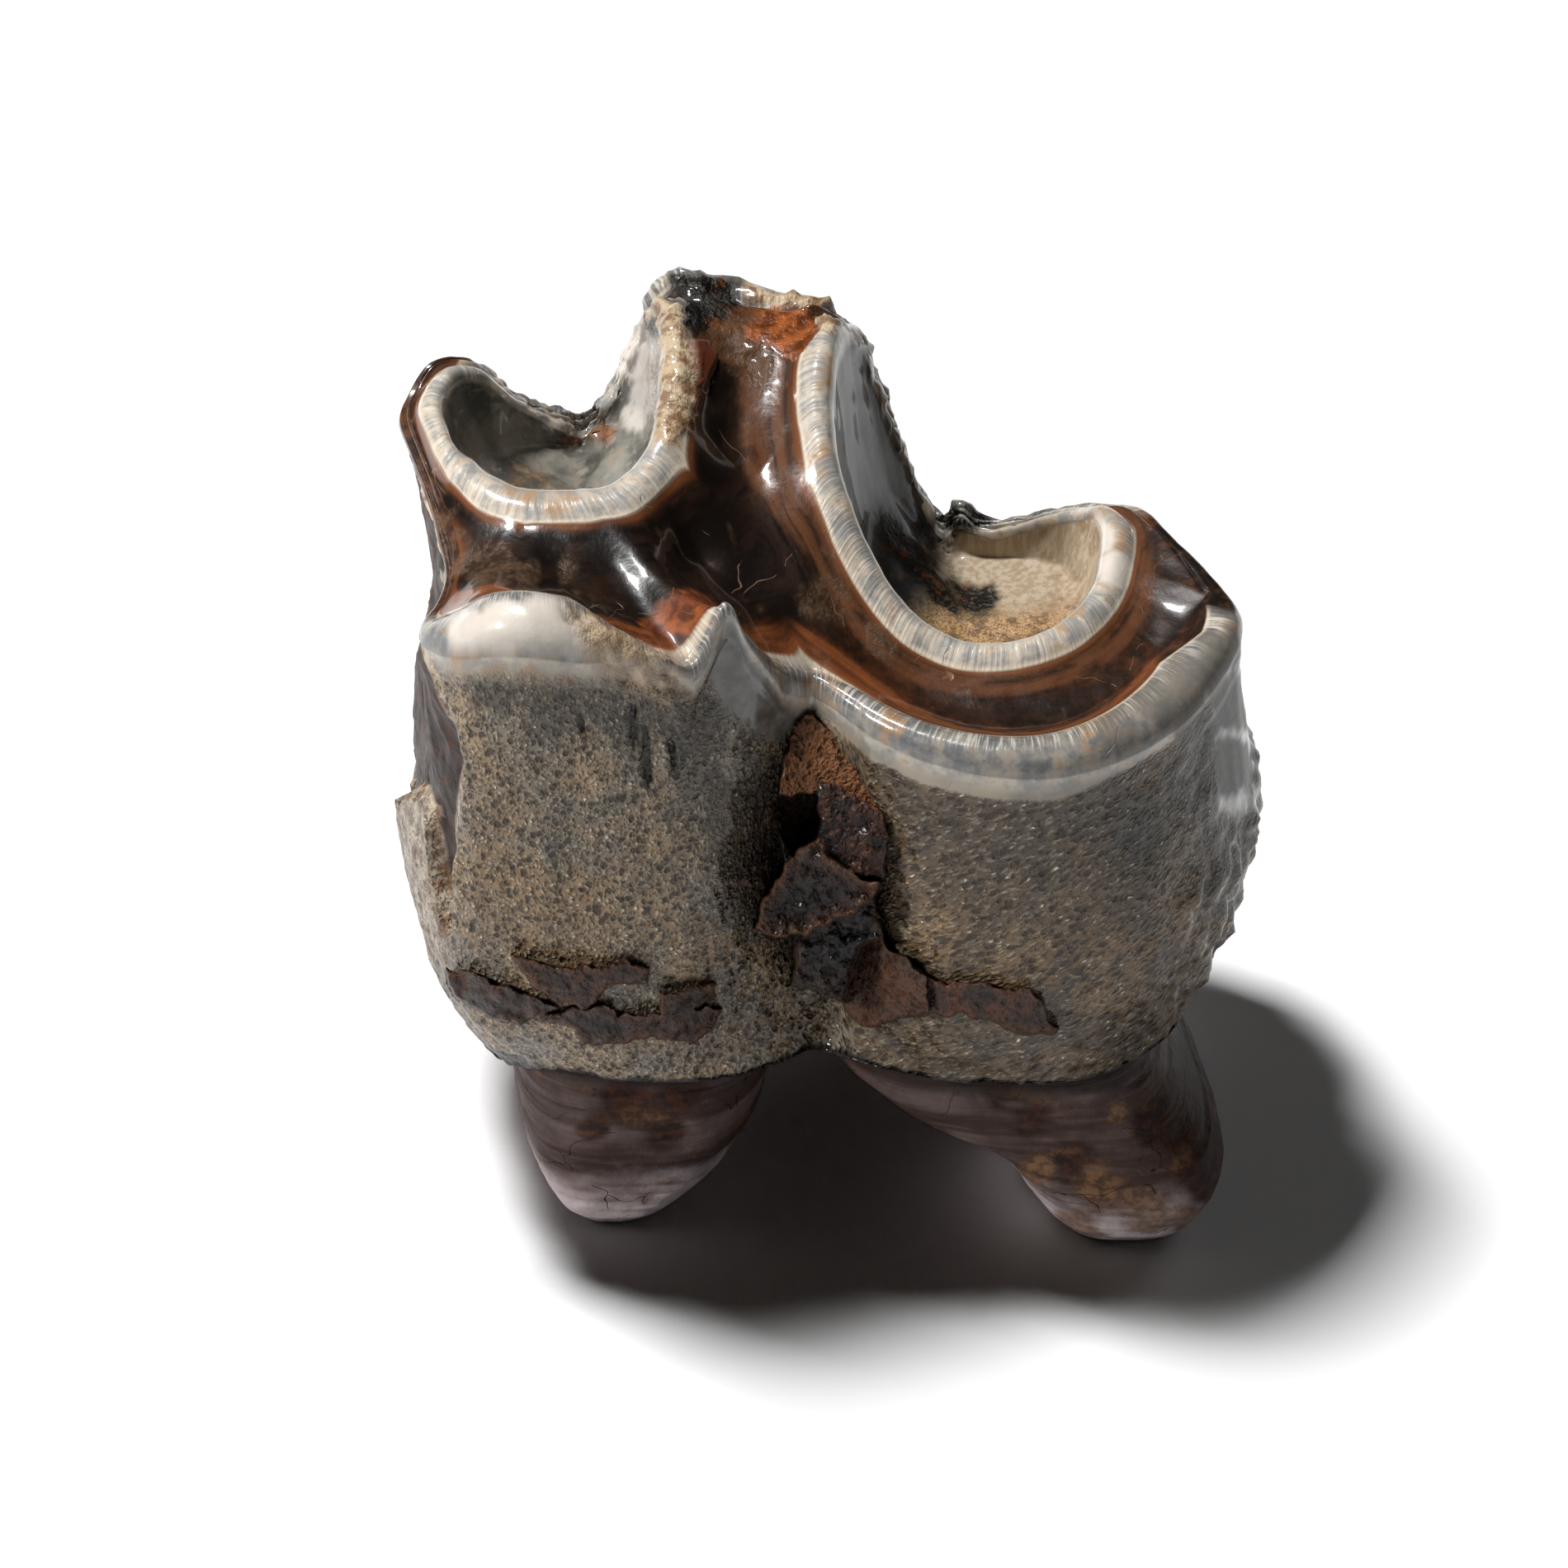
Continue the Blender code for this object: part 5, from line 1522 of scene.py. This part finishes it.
class Graph:
    """Adds nodes to one node tree; each input is given as a value or as a socket."""

    def __init__(self, tree):
        self.tree = tree

    def put(self, socket, value):
        """Link a socket to the input, or set the input's own value."""
        if isinstance(value, bpy.types.NodeSocket):
            self.tree.links.new(value, socket)
        else:
            socket.default_value = value

    def node(self, kind, inputs, **settings):
        """New node with its settings and its inputs, named or numbered."""
        made = self.tree.nodes.new("ShaderNode" + kind)
        for name, value in settings.items():
            setattr(made, name, value)
        for name, value in inputs.items():
            self.put(made.inputs[name], value)
        return made

    def math(self, operation, *terms):
        """Result of one operation on numbers."""
        return self.node("Math", dict(enumerate(terms)), operation=operation).outputs[0]

    def chain(self, operation, result, *terms):
        """Result of one operation with several numbers in turn."""
        for term in terms:
            result = self.math(operation, result, term)
        return result

    def times(self, *terms):
        """Product of several numbers."""
        return self.chain("MULTIPLY", *terms)

    def plus(self, *terms):
        """Sum of several numbers."""
        return self.chain("ADD", *terms)

    def most(self, *terms):
        """Largest of several numbers."""
        return self.chain("MAXIMUM", *terms)

    def rest(self, share):
        """One less the share."""
        return self.math("SUBTRACT", 1.0, share)

    def level(self, share, low, high):
        """Number between low and high by the share."""
        inputs = {0: share, 2: low, 3: high}
        return self.node("Mix", inputs, data_type="FLOAT").outputs[0]

    def blend(self, share, first, second):
        """Colour between two by the share."""
        inputs = {0: share, 6: first, 7: second}
        return self.node("Mix", inputs, data_type="RGBA").outputs[2]

    def step(self, value, start, end):
        """Smooth step from 0 at start to 1 at end."""
        inputs = {"Value": value, "From Min": start, "From Max": end}
        return self.node("MapRange", inputs, interpolation_type="SMOOTHSTEP").outputs[0]

    def fall(self, value, start, end):
        """Smooth step from 1 at start to 0 at end."""
        return self.rest(self.step(value, start, end))

    def tone(self, name, noise=None):
        """Named paint: its one colour, or its two told apart by the noise."""
        _, first, *others = PAINTS[name]
        if not others:
            return paint(*first)
        second, *limits = others
        share = self.step(noise, *limits) if limits else noise
        return self.blend(share, paint(*first), paint(*second))

    def lay(self, colour, *layers):
        """Colour with paints laid over it: each one's name, its share, its noise if any."""
        for name, share, *noise in layers:
            strength = PAINTS[name][0]
            share = share if strength == 1 else self.times(share, strength)
            colour = self.blend(share, colour, self.tone(name, *noise))
        return colour

    def number(self, name):
        """Named number of the mesh."""
        return self.node("Attribute", {}, attribute_name=name).outputs["Fac"]

    def scaled(self, vector, scale):
        """Vector stretched along its three axes."""
        return self.node("Mapping", {"Vector": vector, "Scale": scale}).outputs[0]

    def noise(self, vector, scale, detail=3.0, roughness=0.55):
        """Cloud noise from 0 to 1, its scale in features to a unit."""
        inputs = {"Vector": vector, "Scale": scale, "Detail": detail, "Roughness": roughness}
        return self.node("TexNoise", inputs).outputs[0]

    def bent(self, vector, scale, reach):
        """Vector moved a little by cloud noise, so that patterns lose their straightness."""
        inputs = {"Vector": vector, "Scale": scale, "Detail": 2.0}
        cloud = self.node("TexNoise", inputs).outputs["Color"]
        centred = self.node("VectorMath", {0: cloud, 1: (0.5, 0.5, 0.5)}, operation="SUBTRACT")
        shift = self.node("VectorMath", {0: centred.outputs[0], "Scale": reach}, operation="SCALE")
        inputs = {0: vector, 1: shift.outputs[0]}
        return self.node("VectorMath", inputs, operation="ADD").outputs[0]

    def cells(self, vector, scale, feature="F1"):
        """Distance to the nearest scattered point, or to the nearest cell border."""
        inputs = {"Vector": vector, "Scale": scale}
        return self.node("TexVoronoi", inputs, feature=feature).outputs["Distance"]


def make_group(name, inputs, outputs, build):
    """Node group with named sockets; build gets its graph and its input sockets."""
    tree = bpy.data.node_groups.new(name, "ShaderNodeTree")
    for socket, kind in inputs.items():
        tree.interface.new_socket(socket, in_out="INPUT", socket_type="NodeSocket" + kind)
    for socket in outputs:
        tree.interface.new_socket(socket, in_out="OUTPUT", socket_type="NodeSocketFloat")
    graph = Graph(tree)
    entry = tree.nodes.new("NodeGroupInput")
    results = build(graph, entry.outputs)
    leave = tree.nodes.new("NodeGroupOutput")
    for socket, value in results.items():
        tree.links.new(value, leave.inputs[socket])
    return tree


def use_group(graph, group, inputs):
    """Outputs of a node group placed in a graph."""
    made = graph.tree.nodes.new("ShaderNodeGroup")
    made.node_tree = group
    for name, value in inputs.items():
        graph.put(made.inputs[name], value)
    return made.outputs


def grain_pits(graph, given):
    """Worn grain: beads, pits of two sizes and pale glints, which are painted highlights; Slant
    lays them in rising rows.
    """
    place = graph.bent(graph.bent(given["Place"], 0.9, 0.5), 3.0, 0.14)
    inputs = {0: place, 1: GRAIN_STRETCH}
    tall = graph.node("VectorMath", inputs, operation="MULTIPLY").outputs[0]
    across, deep, height = graph.node("SeparateXYZ", {0: tall}).outputs
    slant = given["Slant"]
    along = graph.times(across, graph.level(slant, 1.0, ROW_LENGTHENING))
    risen = graph.plus(height, graph.times(across, slant, ROW_SLOPE))
    risen = graph.times(risen, graph.level(slant, 1.0, ROW_CROWDING))
    rows = graph.node("CombineXYZ", {0: along, 1: deep, 2: risen}).outputs[0]
    wide, small, bead = (graph.cells(rows, count) for count in (WIDE_PITS, SMALL_PITS, BEADS))
    cloud = graph.noise(tall, 1.5, 4.0, 0.65)
    pits = graph.times(graph.fall(wide, 0.22, 0.5), graph.step(cloud, 0.6, 0.44))
    knobs = graph.fall(bead, 0.16, 0.58)
    glints = graph.times(graph.fall(bead, 0.14, 0.26), graph.step(cloud, 0.54, 0.64))
    small_pits = graph.times(graph.fall(small, 0.2, 0.46), graph.step(cloud, 0.3, 0.5))
    height = graph.plus(
        graph.times(pits, -0.34), graph.times(small_pits, -0.12), graph.times(knobs, 0.14)
    )
    return {"Pits": pits, "Knobs": knobs, "Small": small_pits, "Glints": glints, "Height": height}


def hair_cracks(graph, given):
    """Thin dark lines along the borders of large bent cells, broken up by noise."""
    place = given["Place"]
    border = graph.cells(graph.bent(place, 0.35, 3.0), given["Number"], "DISTANCE_TO_EDGE")
    line = graph.fall(border, 0.002, 0.007)
    return {"Cracks": graph.times(line, graph.step(graph.noise(place, 0.3), 0.54, 0.6))}


def growth_lines(graph, given):
    """Fine lines across the height, like rings laid down one after another."""
    flat = graph.scaled(given["Place"], LEVEL_STRETCH)
    broad = graph.noise(graph.bent(flat, 0.8, 0.8), 0.34, 3.0)
    fine = graph.noise(flat, 2.6, 2.0, 0.6)
    return {"Broad": broad, "Fine": fine}


def new_material(name, roughness, gloss, gloss_roughness, shine):
    """Material with its principled shader, and coordinates in millimetres."""
    material = bpy.data.materials.new(name)
    material.use_nodes = True
    tree = material.node_tree
    graph = Graph(tree)
    surface = tree.nodes["Principled BSDF"]
    surface.inputs["Roughness"].default_value = roughness
    surface.inputs["Specular IOR Level"].default_value = shine
    surface.inputs["Coat Weight"].default_value = gloss
    surface.inputs["Coat Roughness"].default_value = gloss_roughness
    own = graph.node("TexCoord", {}).outputs["Object"]
    place = graph.node("VectorMath", {0: own, "Scale": 1 / MM}, operation="SCALE").outputs[0]
    return material, graph, surface, place


def set_bump(graph, surface, height):
    """Bump whose height is in millimetres."""
    bump = graph.node("Bump", {"Height": height, "Distance": MM, "Strength": 1.0})
    graph.put(surface.inputs["Normal"], bump.outputs[0])


def rim_paint(graph, given, field):
    """Enamel seen on edge: cream to blue grey, combed beside the dentine, ochre in places."""
    mottle, inward, outer = field["mottle"], given["inward"], given["outer"]
    comb = graph.noise(graph.scaled(field["band"], COMB_STRETCH), 5.6, 1.0, 0.5)
    streaks = graph.noise(graph.scaled(field["band"], STREAK_STRETCH), 0.5, 4.0, 0.6)
    clouds = graph.level(0.55, streaks, mottle)
    not_white = graph.rest(graph.times(given["white"], 0.8))
    combed = graph.times(graph.step(inward, -2.1, -1.0), not_white)
    strength = graph.level(outer, 0.6, 1.0)
    line = graph.times(graph.step(inward, -0.35, -0.1), graph.fall(inward, -0.1, 0.1))
    rim = graph.blend(outer, graph.tone("rim", clouds), graph.tone("cheek rim", clouds))
    rim = graph.lay(
        rim,
        ("light teeth", graph.times(graph.step(comb, 0.5, 0.66), combed, strength)),
        ("dark teeth", graph.times(graph.step(comb, 0.5, 0.3), combed, strength)),
        ("rim ochre", graph.step(mottle, 0.54, 0.72)),
        ("rim stain", graph.times(given["ochre"], graph.step(mottle, 0.35, 0.6))),
        # Painted shade at the right end
        ("painted shade on dull rim", given["dull"]),
        # Pale enamel where the pale spots fall, partly painted light
        ("white rim", given["white"]),
        ("line by the dentine", line),
        ("rim grains", given["grainy"], mottle),
    )
    return rim, graph.times(comb, combed)


def rough_wall_paint(graph, given, field, grain, lines):
    """The pitted ground of the wall: tan at the left, browner and darker at the right as painted
    shade, grey painted shade in places.
    """
    soft, mottle, right_lobe = field["soft"], field["mottle"], field["right_lobe"]
    left_ground = graph.tone("left ground", soft)
    # Darker ground of the right lobe: painted shade
    shaded_right_ground = graph.tone("shaded right ground", soft)
    fibres = graph.noise(graph.scaled(field["place"], FIBRE_STRETCH), 3.4, 3.0, 0.6)
    low_wall = graph.rest(graph.times(given["shade"], 0.6))
    knobs = grain["Knobs"]
    fine_lines = graph.step(lines["Fine"], 0.52, 0.7)
    return graph.lay(
        graph.blend(right_lobe, left_ground, shaded_right_ground),
        ("wall ochre", given["ochre"]),
        # Painted shade where the shade spots fall
        ("slate grey painted shade", given["shade"], fibres),
        ("pale clouds", graph.step(mottle, 0.5, 0.7)),
        # Pale enamel where the pale spots fall, partly painted light
        ("white wall", given["white"]),
        ("beads", graph.times(knobs, low_wall, graph.level(right_lobe, 0.5, 0.3))),
        ("between beads", graph.times(graph.rest(knobs), graph.step(mottle, 0.3, 0.6))),
        ("small pits", graph.times(grain["Small"], low_wall)),
        ("pits", graph.times(grain["Pits"], low_wall)),
        ("fissures", given["fissure"]),
        ("pale lines", graph.times(fine_lines, graph.step(field["specks"], 0.4, 0.65))),
        # Painted highlights
        ("glints", grain["Glints"]),
    )


def wall_paint(graph, given, field, grain, lines):
    """The outer wall: a smooth pale band under the rim, pitted ground, darker towards the bottom,
    and painted shade of the gap at the neck.
    """
    soft, mottle, right_lobe = field["soft"], field["mottle"], field["right_lobe"]
    smooth_wall = graph.lay(
        graph.tone("smooth wall", soft),
        ("white band", given["white"]),
        ("ochre band", given["ochre"]),
        # Painted shade at the right end
        ("painted shade on dull band", given["dull"]),
    )
    rough_wall = rough_wall_paint(graph, given, field, grain, lines)
    towards_end = graph.times(graph.step(field["across"], 12.0, 20.0), -1.0)
    lobe_depth = graph.times(right_lobe, 0.4)
    soft_depth = graph.times(soft, 0.8)
    smooth_depth = graph.plus(0.9, lobe_depth, soft_depth, towards_end)
    past = graph.math("SUBTRACT", given["down"], smooth_depth)
    rough = graph.level(right_lobe, graph.step(past, -0.6, 1.2), graph.step(past, -0.1, 0.3))
    rough = graph.times(rough, graph.rest(given["glaze"]))
    above_neck = graph.step(graph.plus(field["height"], graph.times(mottle, 0.8)), 14.6, 15.3)
    above_base = graph.step(graph.plus(field["height"], graph.times(mottle, 0.6)), 14.7, 14.95)
    wall = graph.lay(
        graph.blend(rough, smooth_wall, rough_wall),
        ("glaze", given["glaze"], mottle),
        # Painted shade at the right end
        ("painted shade on dull wall", given["dull"]),
        # Darker towards the bottom edge
        ("above the neck", graph.rest(above_neck)),
        # Painted shade of the gap over the roots
        ("neck", graph.times(graph.rest(above_base), field["on_wall"])),
    )
    return wall, rough


def basin_paint(graph, given, field):
    """Basins: grey green walls on the left, pale in places with painted light; on the right, dark
    blue grey by the ridge as painted shade, cream further along; sandy floors.
    """
    soft, mottle, place = field["soft"], field["mottle"], field["place"]
    left_wall = graph.lay(
        graph.tone("left basin", soft),
        ("left basin clouds", graph.step(mottle, 0.52, 0.7)),
        # Painted light on the wall that faces the light
        ("left basin white and painted light", given["white"]),
    )
    streaks = graph.noise(graph.scaled(place, TALL_STRETCH), 2.6, 3.0, 0.6)
    right_end = graph.step(field["across"], 6.0, 9.0)
    right_wall = graph.lay(
        # Dark blue grey by the ridge: painted shade
        graph.tone("right basin", soft),
        ("right basin cream", right_end),
        ("right basin stripes", graph.times(graph.step(streaks, 0.42, 0.58), right_end)),
    )
    stains = graph.times(graph.step(mottle, 0.54, 0.66), graph.step(soft, 0.4, 0.6), 0.5)
    dirt = graph.step(graph.plus(mottle, field["specks"]), 0.8, 1.2)
    dirt = graph.times(given["ochre"], dirt, 0.6)
    wall = graph.blend(given["right_pit"], left_wall, right_wall)
    wall = graph.lay(wall, ("basin dirt", graph.most(stains, dirt)))
    sand = graph.tone("sand", graph.noise(place, 7.0, 2.0, 0.6))
    sand = graph.lay(sand, ("dark sand", graph.step(mottle, 0.5, 0.38)))
    ragged = graph.times(mottle, 3.0)
    above = graph.math("SUBTRACT", graph.plus(field["height"], ragged), 35.4)
    in_front = graph.rest(graph.step(graph.plus(field["deep"], ragged), 4.0, 7.0))
    on_floor = graph.times(graph.fall(above, 0.6, 2.4), given["right_pit"], in_front)
    pit = graph.blend(on_floor, wall, sand)
    return graph.lay(pit, ("clay", given["crusty"], mottle)), on_floor


def dentine_paint(graph, given, field, cracks):
    """Dentine: near black in the middle, orange brown along the rims, dusty in places, with
    painted shade in the hole at the notch.
    """
    soft, mottle = field["soft"], field["mottle"]
    inward, outer, cover = given["inward"], given["outer"], given["cover"]
    around = graph.node("CombineXYZ", {0: inward, 1: graph.times(soft, 2.0)}).outputs[0]
    rings = graph.noise(around, 1.8, 3.0, 0.6)
    ragged = graph.plus(inward, graph.times(mottle, 0.9), -0.45)
    outer_warm = graph.times(outer, graph.fall(ragged, 1.1, 1.9), cover)
    high_reach = graph.level(graph.step(field["height"], 44.0, 48.0), 1.3, 2.6)
    basin_reach = graph.level(field["right_side"], 0.15, high_reach)
    past_reach = graph.step(graph.math("SUBTRACT", ragged, basin_reach), -0.3, 0.5)
    basin_warm = graph.times(graph.rest(outer), graph.rest(past_reach))
    lining = graph.times(graph.rest(outer), graph.fall(inward, 0.1, 0.35))
    speckle = graph.step(graph.plus(field["specks"], graph.times(mottle, 1.6)), 1.1, 1.6)
    dusty = graph.times(given["dust"], graph.level(speckle, 0.25, 1.0))
    colour = graph.lay(
        graph.tone("dark dentine", rings),
        ("brown dentine", basin_warm, rings),
        ("orange dentine", outer_warm, rings),
        ("open side", graph.times(outer, graph.fall(cover, 0.1, 0.6)), mottle),
        ("rim lining", lining),
        ("dark flakes", given["flaky"], mottle),
        ("notch", given["orange"], mottle),
        ("darkest dentine and painted hole shade", given["dark"]),
        ("dentine cracks", cracks),
        ("dust", dusty),
    )
    return colour, dusty


def damage_paint(graph, given, field, colour):
    """Broken enamel with its torn cream edge, the hollow, the facet, the knob and the stain, which
    in the right basin's deep valley is also painted shade.
    """
    soft, mottle, bare = field["soft"], field["mottle"], given["bare"]
    broken = graph.tone("broken end", soft)
    broken = graph.lay(broken, ("broken end rust", graph.step(mottle, 0.5, 0.68)))
    torn = graph.times(graph.step(bare, 0.02, 0.3), graph.fall(bare, 0.7, 0.97))
    torn = graph.times(torn, field["on_wall"])
    oily = graph.level(graph.step(field["specks"], 0.5, 0.62), 1.0, 0.8)
    return graph.lay(
        graph.blend(graph.step(bare, 0.6, 0.95), colour, broken),
        ("torn edge", graph.most(torn, graph.times(given["chip"], 0.9)), mottle),
        ("hollow", given["hollow"], mottle),
        ("facet", given["facet"], mottle),
        ("knob", given["knob"]),
        # Stain, and painted shade in the right basin's valley
        ("amber stain and painted shade", graph.times(given["stain"], oily), mottle),
    )


def crown_material(groups):
    """Enamel, dentine, stains and dust of the crown, told apart by the mesh's numbers."""
    material, graph, surface, place = new_material(
        "crown_enamel_dentine", roughness=0.4, gloss=0.5, gloss_roughness=0.09, shine=0.25
    )
    given = {name: graph.number(name) for name in (*BAND_NUMBERS, *MARKS, *SPOTS, "dark")}
    inward, down, bare = given["inward"], given["down"], given["bare"]
    across, deep, height = graph.node("SeparateXYZ", {0: place}).outputs
    field = {
        "place": place, "across": across, "deep": deep, "height": height,
        "band": graph.node("UVMap", {}, uv_map="band").outputs[0],
        "soft": graph.noise(place, 0.3, 4.0),
        "mottle": graph.noise(place, 1.0, 4.0, 0.6),
        "specks": graph.noise(place, 3.5, 3.0, 0.6),
        "right_lobe": graph.step(across, 0.5, 2.5),
        "right_side": graph.step(across, -6.5, -4.0),
        "on_wall": graph.fall(down, WALL_DOWN, WALL_DOWN + 5.0),
    }
    mottle, specks = field["mottle"], field["specks"]
    grain_inputs = {"Place": place, "Slant": field["right_lobe"]}
    grain = use_group(graph, groups["grain pits"], grain_inputs)
    cracks = use_group(graph, groups["hair cracks"], {"Place": place, "Number": 0.14})["Cracks"]
    lines = use_group(graph, groups["growth lines"], {"Place": place})

    in_pit = graph.most(given["left_pit"], given["right_pit"])
    uncovered = graph.fall(given["cover"], 0.3, 0.7)
    is_dentine = graph.most(graph.step(inward, -0.08, 0.08), uncovered)
    on_top = graph.fall(down, 0.0, 0.3)
    is_dentine = graph.times(is_dentine, graph.rest(in_pit), on_top)

    rim, comb = rim_paint(graph, given, field)
    wall, rough = wall_paint(graph, given, field, grain, lines)
    pit, on_floor = basin_paint(graph, given, field)
    dentine, dusty = dentine_paint(graph, given, field, cracks)
    enamel = graph.blend(graph.step(down, 0.2, 1.5), rim, wall)
    enamel = graph.lay(enamel, ("chipped rim", given["rough_rim"], mottle))
    enamel = graph.blend(in_pit, enamel, pit)
    colour = graph.blend(is_dentine, enamel, dentine)
    graph.put(surface.inputs["Base Color"], damage_paint(graph, given, field, colour))

    whole = graph.fall(bare, 0.3, 0.9)
    rough = graph.times(rough, graph.rest(is_dentine), graph.rest(in_pit), whole)
    sandy = graph.times(on_floor, in_pit)
    worn = graph.most(bare, given["hollow"])
    weak = [graph.times(given[name], share) for name, share in DULL_SHARES.items()]
    dull = graph.most(dusty, worn, graph.times(in_pit, 0.7), *weak)
    graph.put(surface.inputs["Roughness"], graph.level(graph.most(dull, rough), 0.32, 0.52))
    gloss = graph.level(dull, 0.85, 0.1)
    graph.put(surface.inputs["Coat Weight"], graph.level(graph.most(rough, sandy), gloss, 0.4))
    combed = graph.times(graph.fall(down, 0.5, 3.0), graph.rest(is_dentine))
    gritty = graph.most(given["chip"], given["rough_rim"], given["grainy"], given["stain"])
    relief = graph.plus(
        graph.times(grain["Height"], rough),
        graph.times(lines["Fine"], 0.06, rough),
        graph.times(specks, 0.14, graph.most(rough, sandy)),
        graph.times(comb, 0.07, combed),
        graph.times(specks, 0.04, dusty),
        graph.times(mottle, 0.3, worn),
        graph.times(specks, 0.2, given["crusty"]),
        graph.times(mottle, 0.05, graph.rest(rough)),
        graph.times(specks, 0.16, gritty),
        graph.times(mottle, 0.3, given["facet"]),
        graph.times(cracks, -0.03),
    )
    set_bump(graph, surface, relief)
    return material


def root_material(groups):
    """Root cement: mauve brown to grey, banded across, red and tan in places, with painted light
    on the lower roots and painted shade at the top and on the right root's right side.
    """
    material, graph, surface, place = new_material(
        "root_cement", roughness=0.6, gloss=0.04, gloss_roughness=0.25, shine=0.1
    )
    lines = use_group(graph, groups["growth lines"], {"Place": place})
    cracks = use_group(graph, groups["hair cracks"], {"Place": place, "Number": 0.22})["Cracks"]
    soft = graph.noise(place, 0.3, 4.0)
    mottle = graph.noise(place, 1.6, 4.0, 0.6)
    level = graph.node("SeparateXYZ", {0: place}).outputs[2]
    # Lower part of the roots, made paler: painted light
    above_tip = graph.step(graph.plus(level, graph.times(soft, 7.0)), 4.5, 9.5)
    colour = graph.lay(
        graph.tone("root", soft),
        ("root bands", graph.step(lines["Broad"], 0.42, 0.58)),
        ("painted light on root tips", graph.rest(above_tip)),
        ("root lines", graph.step(lines["Fine"], 0.52, 0.72)),
        # Red brown, partly painted shade
        ("root red and painted shade", graph.number("red"), mottle),
        ("root tan", graph.number("tan"), mottle),
        # Painted shade under the crown's overhang
        ("painted shade under the crown", graph.step(graph.plus(level, graph.times(mottle, 0.8)), 12.2, 13.2)),
        ("root cracks", cracks),
    )
    graph.put(surface.inputs["Base Color"], colour)
    graph.put(surface.inputs["Roughness"], graph.level(mottle, 0.46, 0.7))
    height = graph.plus(
        graph.times(lines["Fine"], 0.09), graph.times(mottle, 0.1), graph.times(cracks, -0.1)
    )
    set_bump(graph, surface, height)
    return material


def crust_material(groups):
    """Cement crust: purple brown and pitted, tan where its skin is left."""
    material, graph, surface, place = new_material(
        "cement_crust", roughness=0.5, gloss=0.2, gloss_roughness=0.15, shine=0.2
    )
    grain = use_group(graph, groups["grain pits"], {"Place": place})
    mottle = graph.noise(place, 2.2, 4.0, 0.6)
    colour = graph.lay(
        graph.tone("crust", graph.noise(place, 0.5, 4.0)),
        ("crust rust", graph.number("rust")),
        ("crust tan", graph.number("tan")),
        ("crust pits", grain["Pits"]),
    )
    graph.put(surface.inputs["Base Color"], colour)
    height = graph.plus(graph.times(grain["Height"], 0.6), graph.times(mottle, 0.24))
    set_bump(graph, surface, height)
    return material


# Floor, lights and camera


def add_object(name, data):
    """New object of a mesh, a light or a camera, in the scene."""
    made = bpy.data.objects.new(name, data)
    bpy.context.scene.collection.objects.link(made)
    return made


def make_floor():
    """Plain pale floor, a square of the level plane."""
    half = FLOOR_HALF
    mesh = bpy.data.meshes.new("floor")
    corners = [(-half, -half, 0.0), (half, -half, 0.0), (half, half, 0.0), (-half, half, 0.0)]
    mesh.from_pydata(corners, [], [(0, 1, 2, 3)])
    floor = add_object("floor", mesh)
    material = bpy.data.materials.new("pale_floor")
    material.use_nodes = True
    surface = material.node_tree.nodes["Principled BSDF"]
    surface.inputs["Base Color"].default_value = FLOOR_COLOUR
    surface.inputs["Roughness"].default_value = 0.9
    surface.inputs["Specular IOR Level"].default_value = 0.0
    mesh.materials.append(material)
    return floor


def make_lights(pieces, floor):
    """A key light high at the left, a fill on the tooth alone and one on the floor alone."""
    lit = {}
    for name, members in (("tooth", pieces), ("floor", [floor])):
        lit[name] = bpy.data.collections.new("lit " + name)
        for member in members:
            lit[name].objects.link(member)
    for name, (towards, size, watts, only) in LIGHTS.items():
        light = bpy.data.lights.new(name, "AREA")
        light.shape = "RECTANGLE"
        light.size, light.size_y = size
        light.energy = watts
        lamp = add_object(name, light)
        direction = Vector(towards).normalized()
        lamp.location = Vector(LIT_PLACE) + direction * LIGHT_DISTANCE
        lamp.rotation_euler = direction.to_track_quat("Z", "Y").to_euler()
        if only:
            lamp.light_linking.receiver_collection = lit[only]
    world = bpy.data.worlds.new("surround")
    world.use_nodes = True
    world.node_tree.nodes["Background"].inputs["Color"].default_value = (1.0, 1.0, 1.0, 1.0)
    world.node_tree.nodes["Background"].inputs["Strength"].default_value = SURROUND_STRENGTH
    bpy.context.scene.world = world


def make_camera():
    """The photograph's view: 45 degrees down on the cheek side."""
    camera = bpy.data.cameras.new("camera")
    camera.sensor_width = SENSOR
    camera.lens = SENSOR * UNITS_PER_MM * CAMERA_AWAY / PICTURE
    camera.clip_start = 0.01
    holder = add_object("camera", camera)
    holder.location = (CAMERA_AIM + CAMERA_BACK - MIDDLE) * MM
    holder.rotation_euler = (math.pi / 2 - CAMERA_TILT, 0.0, 0.0)
    bpy.context.scene.camera = holder
    bpy.context.scene.view_settings.view_transform = "Standard"


def build():
    """Every piece of the tooth, then what it stands on and is seen by."""
    effects = {
        name: make_group(name, inputs, outputs, effect)
        for name, inputs, outputs, effect in (
            (
                "grain pits", {"Place": "Vector", "Slant": "Float"},
                ("Pits", "Knobs", "Small", "Glints", "Height"), grain_pits,
            ),
            ("hair cracks", {"Place": "Vector", "Number": "Float"}, ("Cracks",), hair_cracks),
            ("growth lines", {"Place": "Vector"}, ("Broad", "Fine"), growth_lines),
        )
    }
    root_cement = root_material(effects)
    crust = crust_material(effects)
    crown, wall = make_crown(crown_material(effects))
    pieces = [
        crown,
        make_root("left_root", LEFT_ROOT, LEFT_SKEW, 71, root_cement),
        make_root("right_root", RIGHT_ROOT, RIGHT_SKEW, 83, root_cement),
        *make_cement(wall, crust),
    ]
    for piece in pieces:
        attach(piece, "root")
        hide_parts("tooth")
    floor = make_floor()
    make_lights(pieces, floor)
    make_camera()


build()
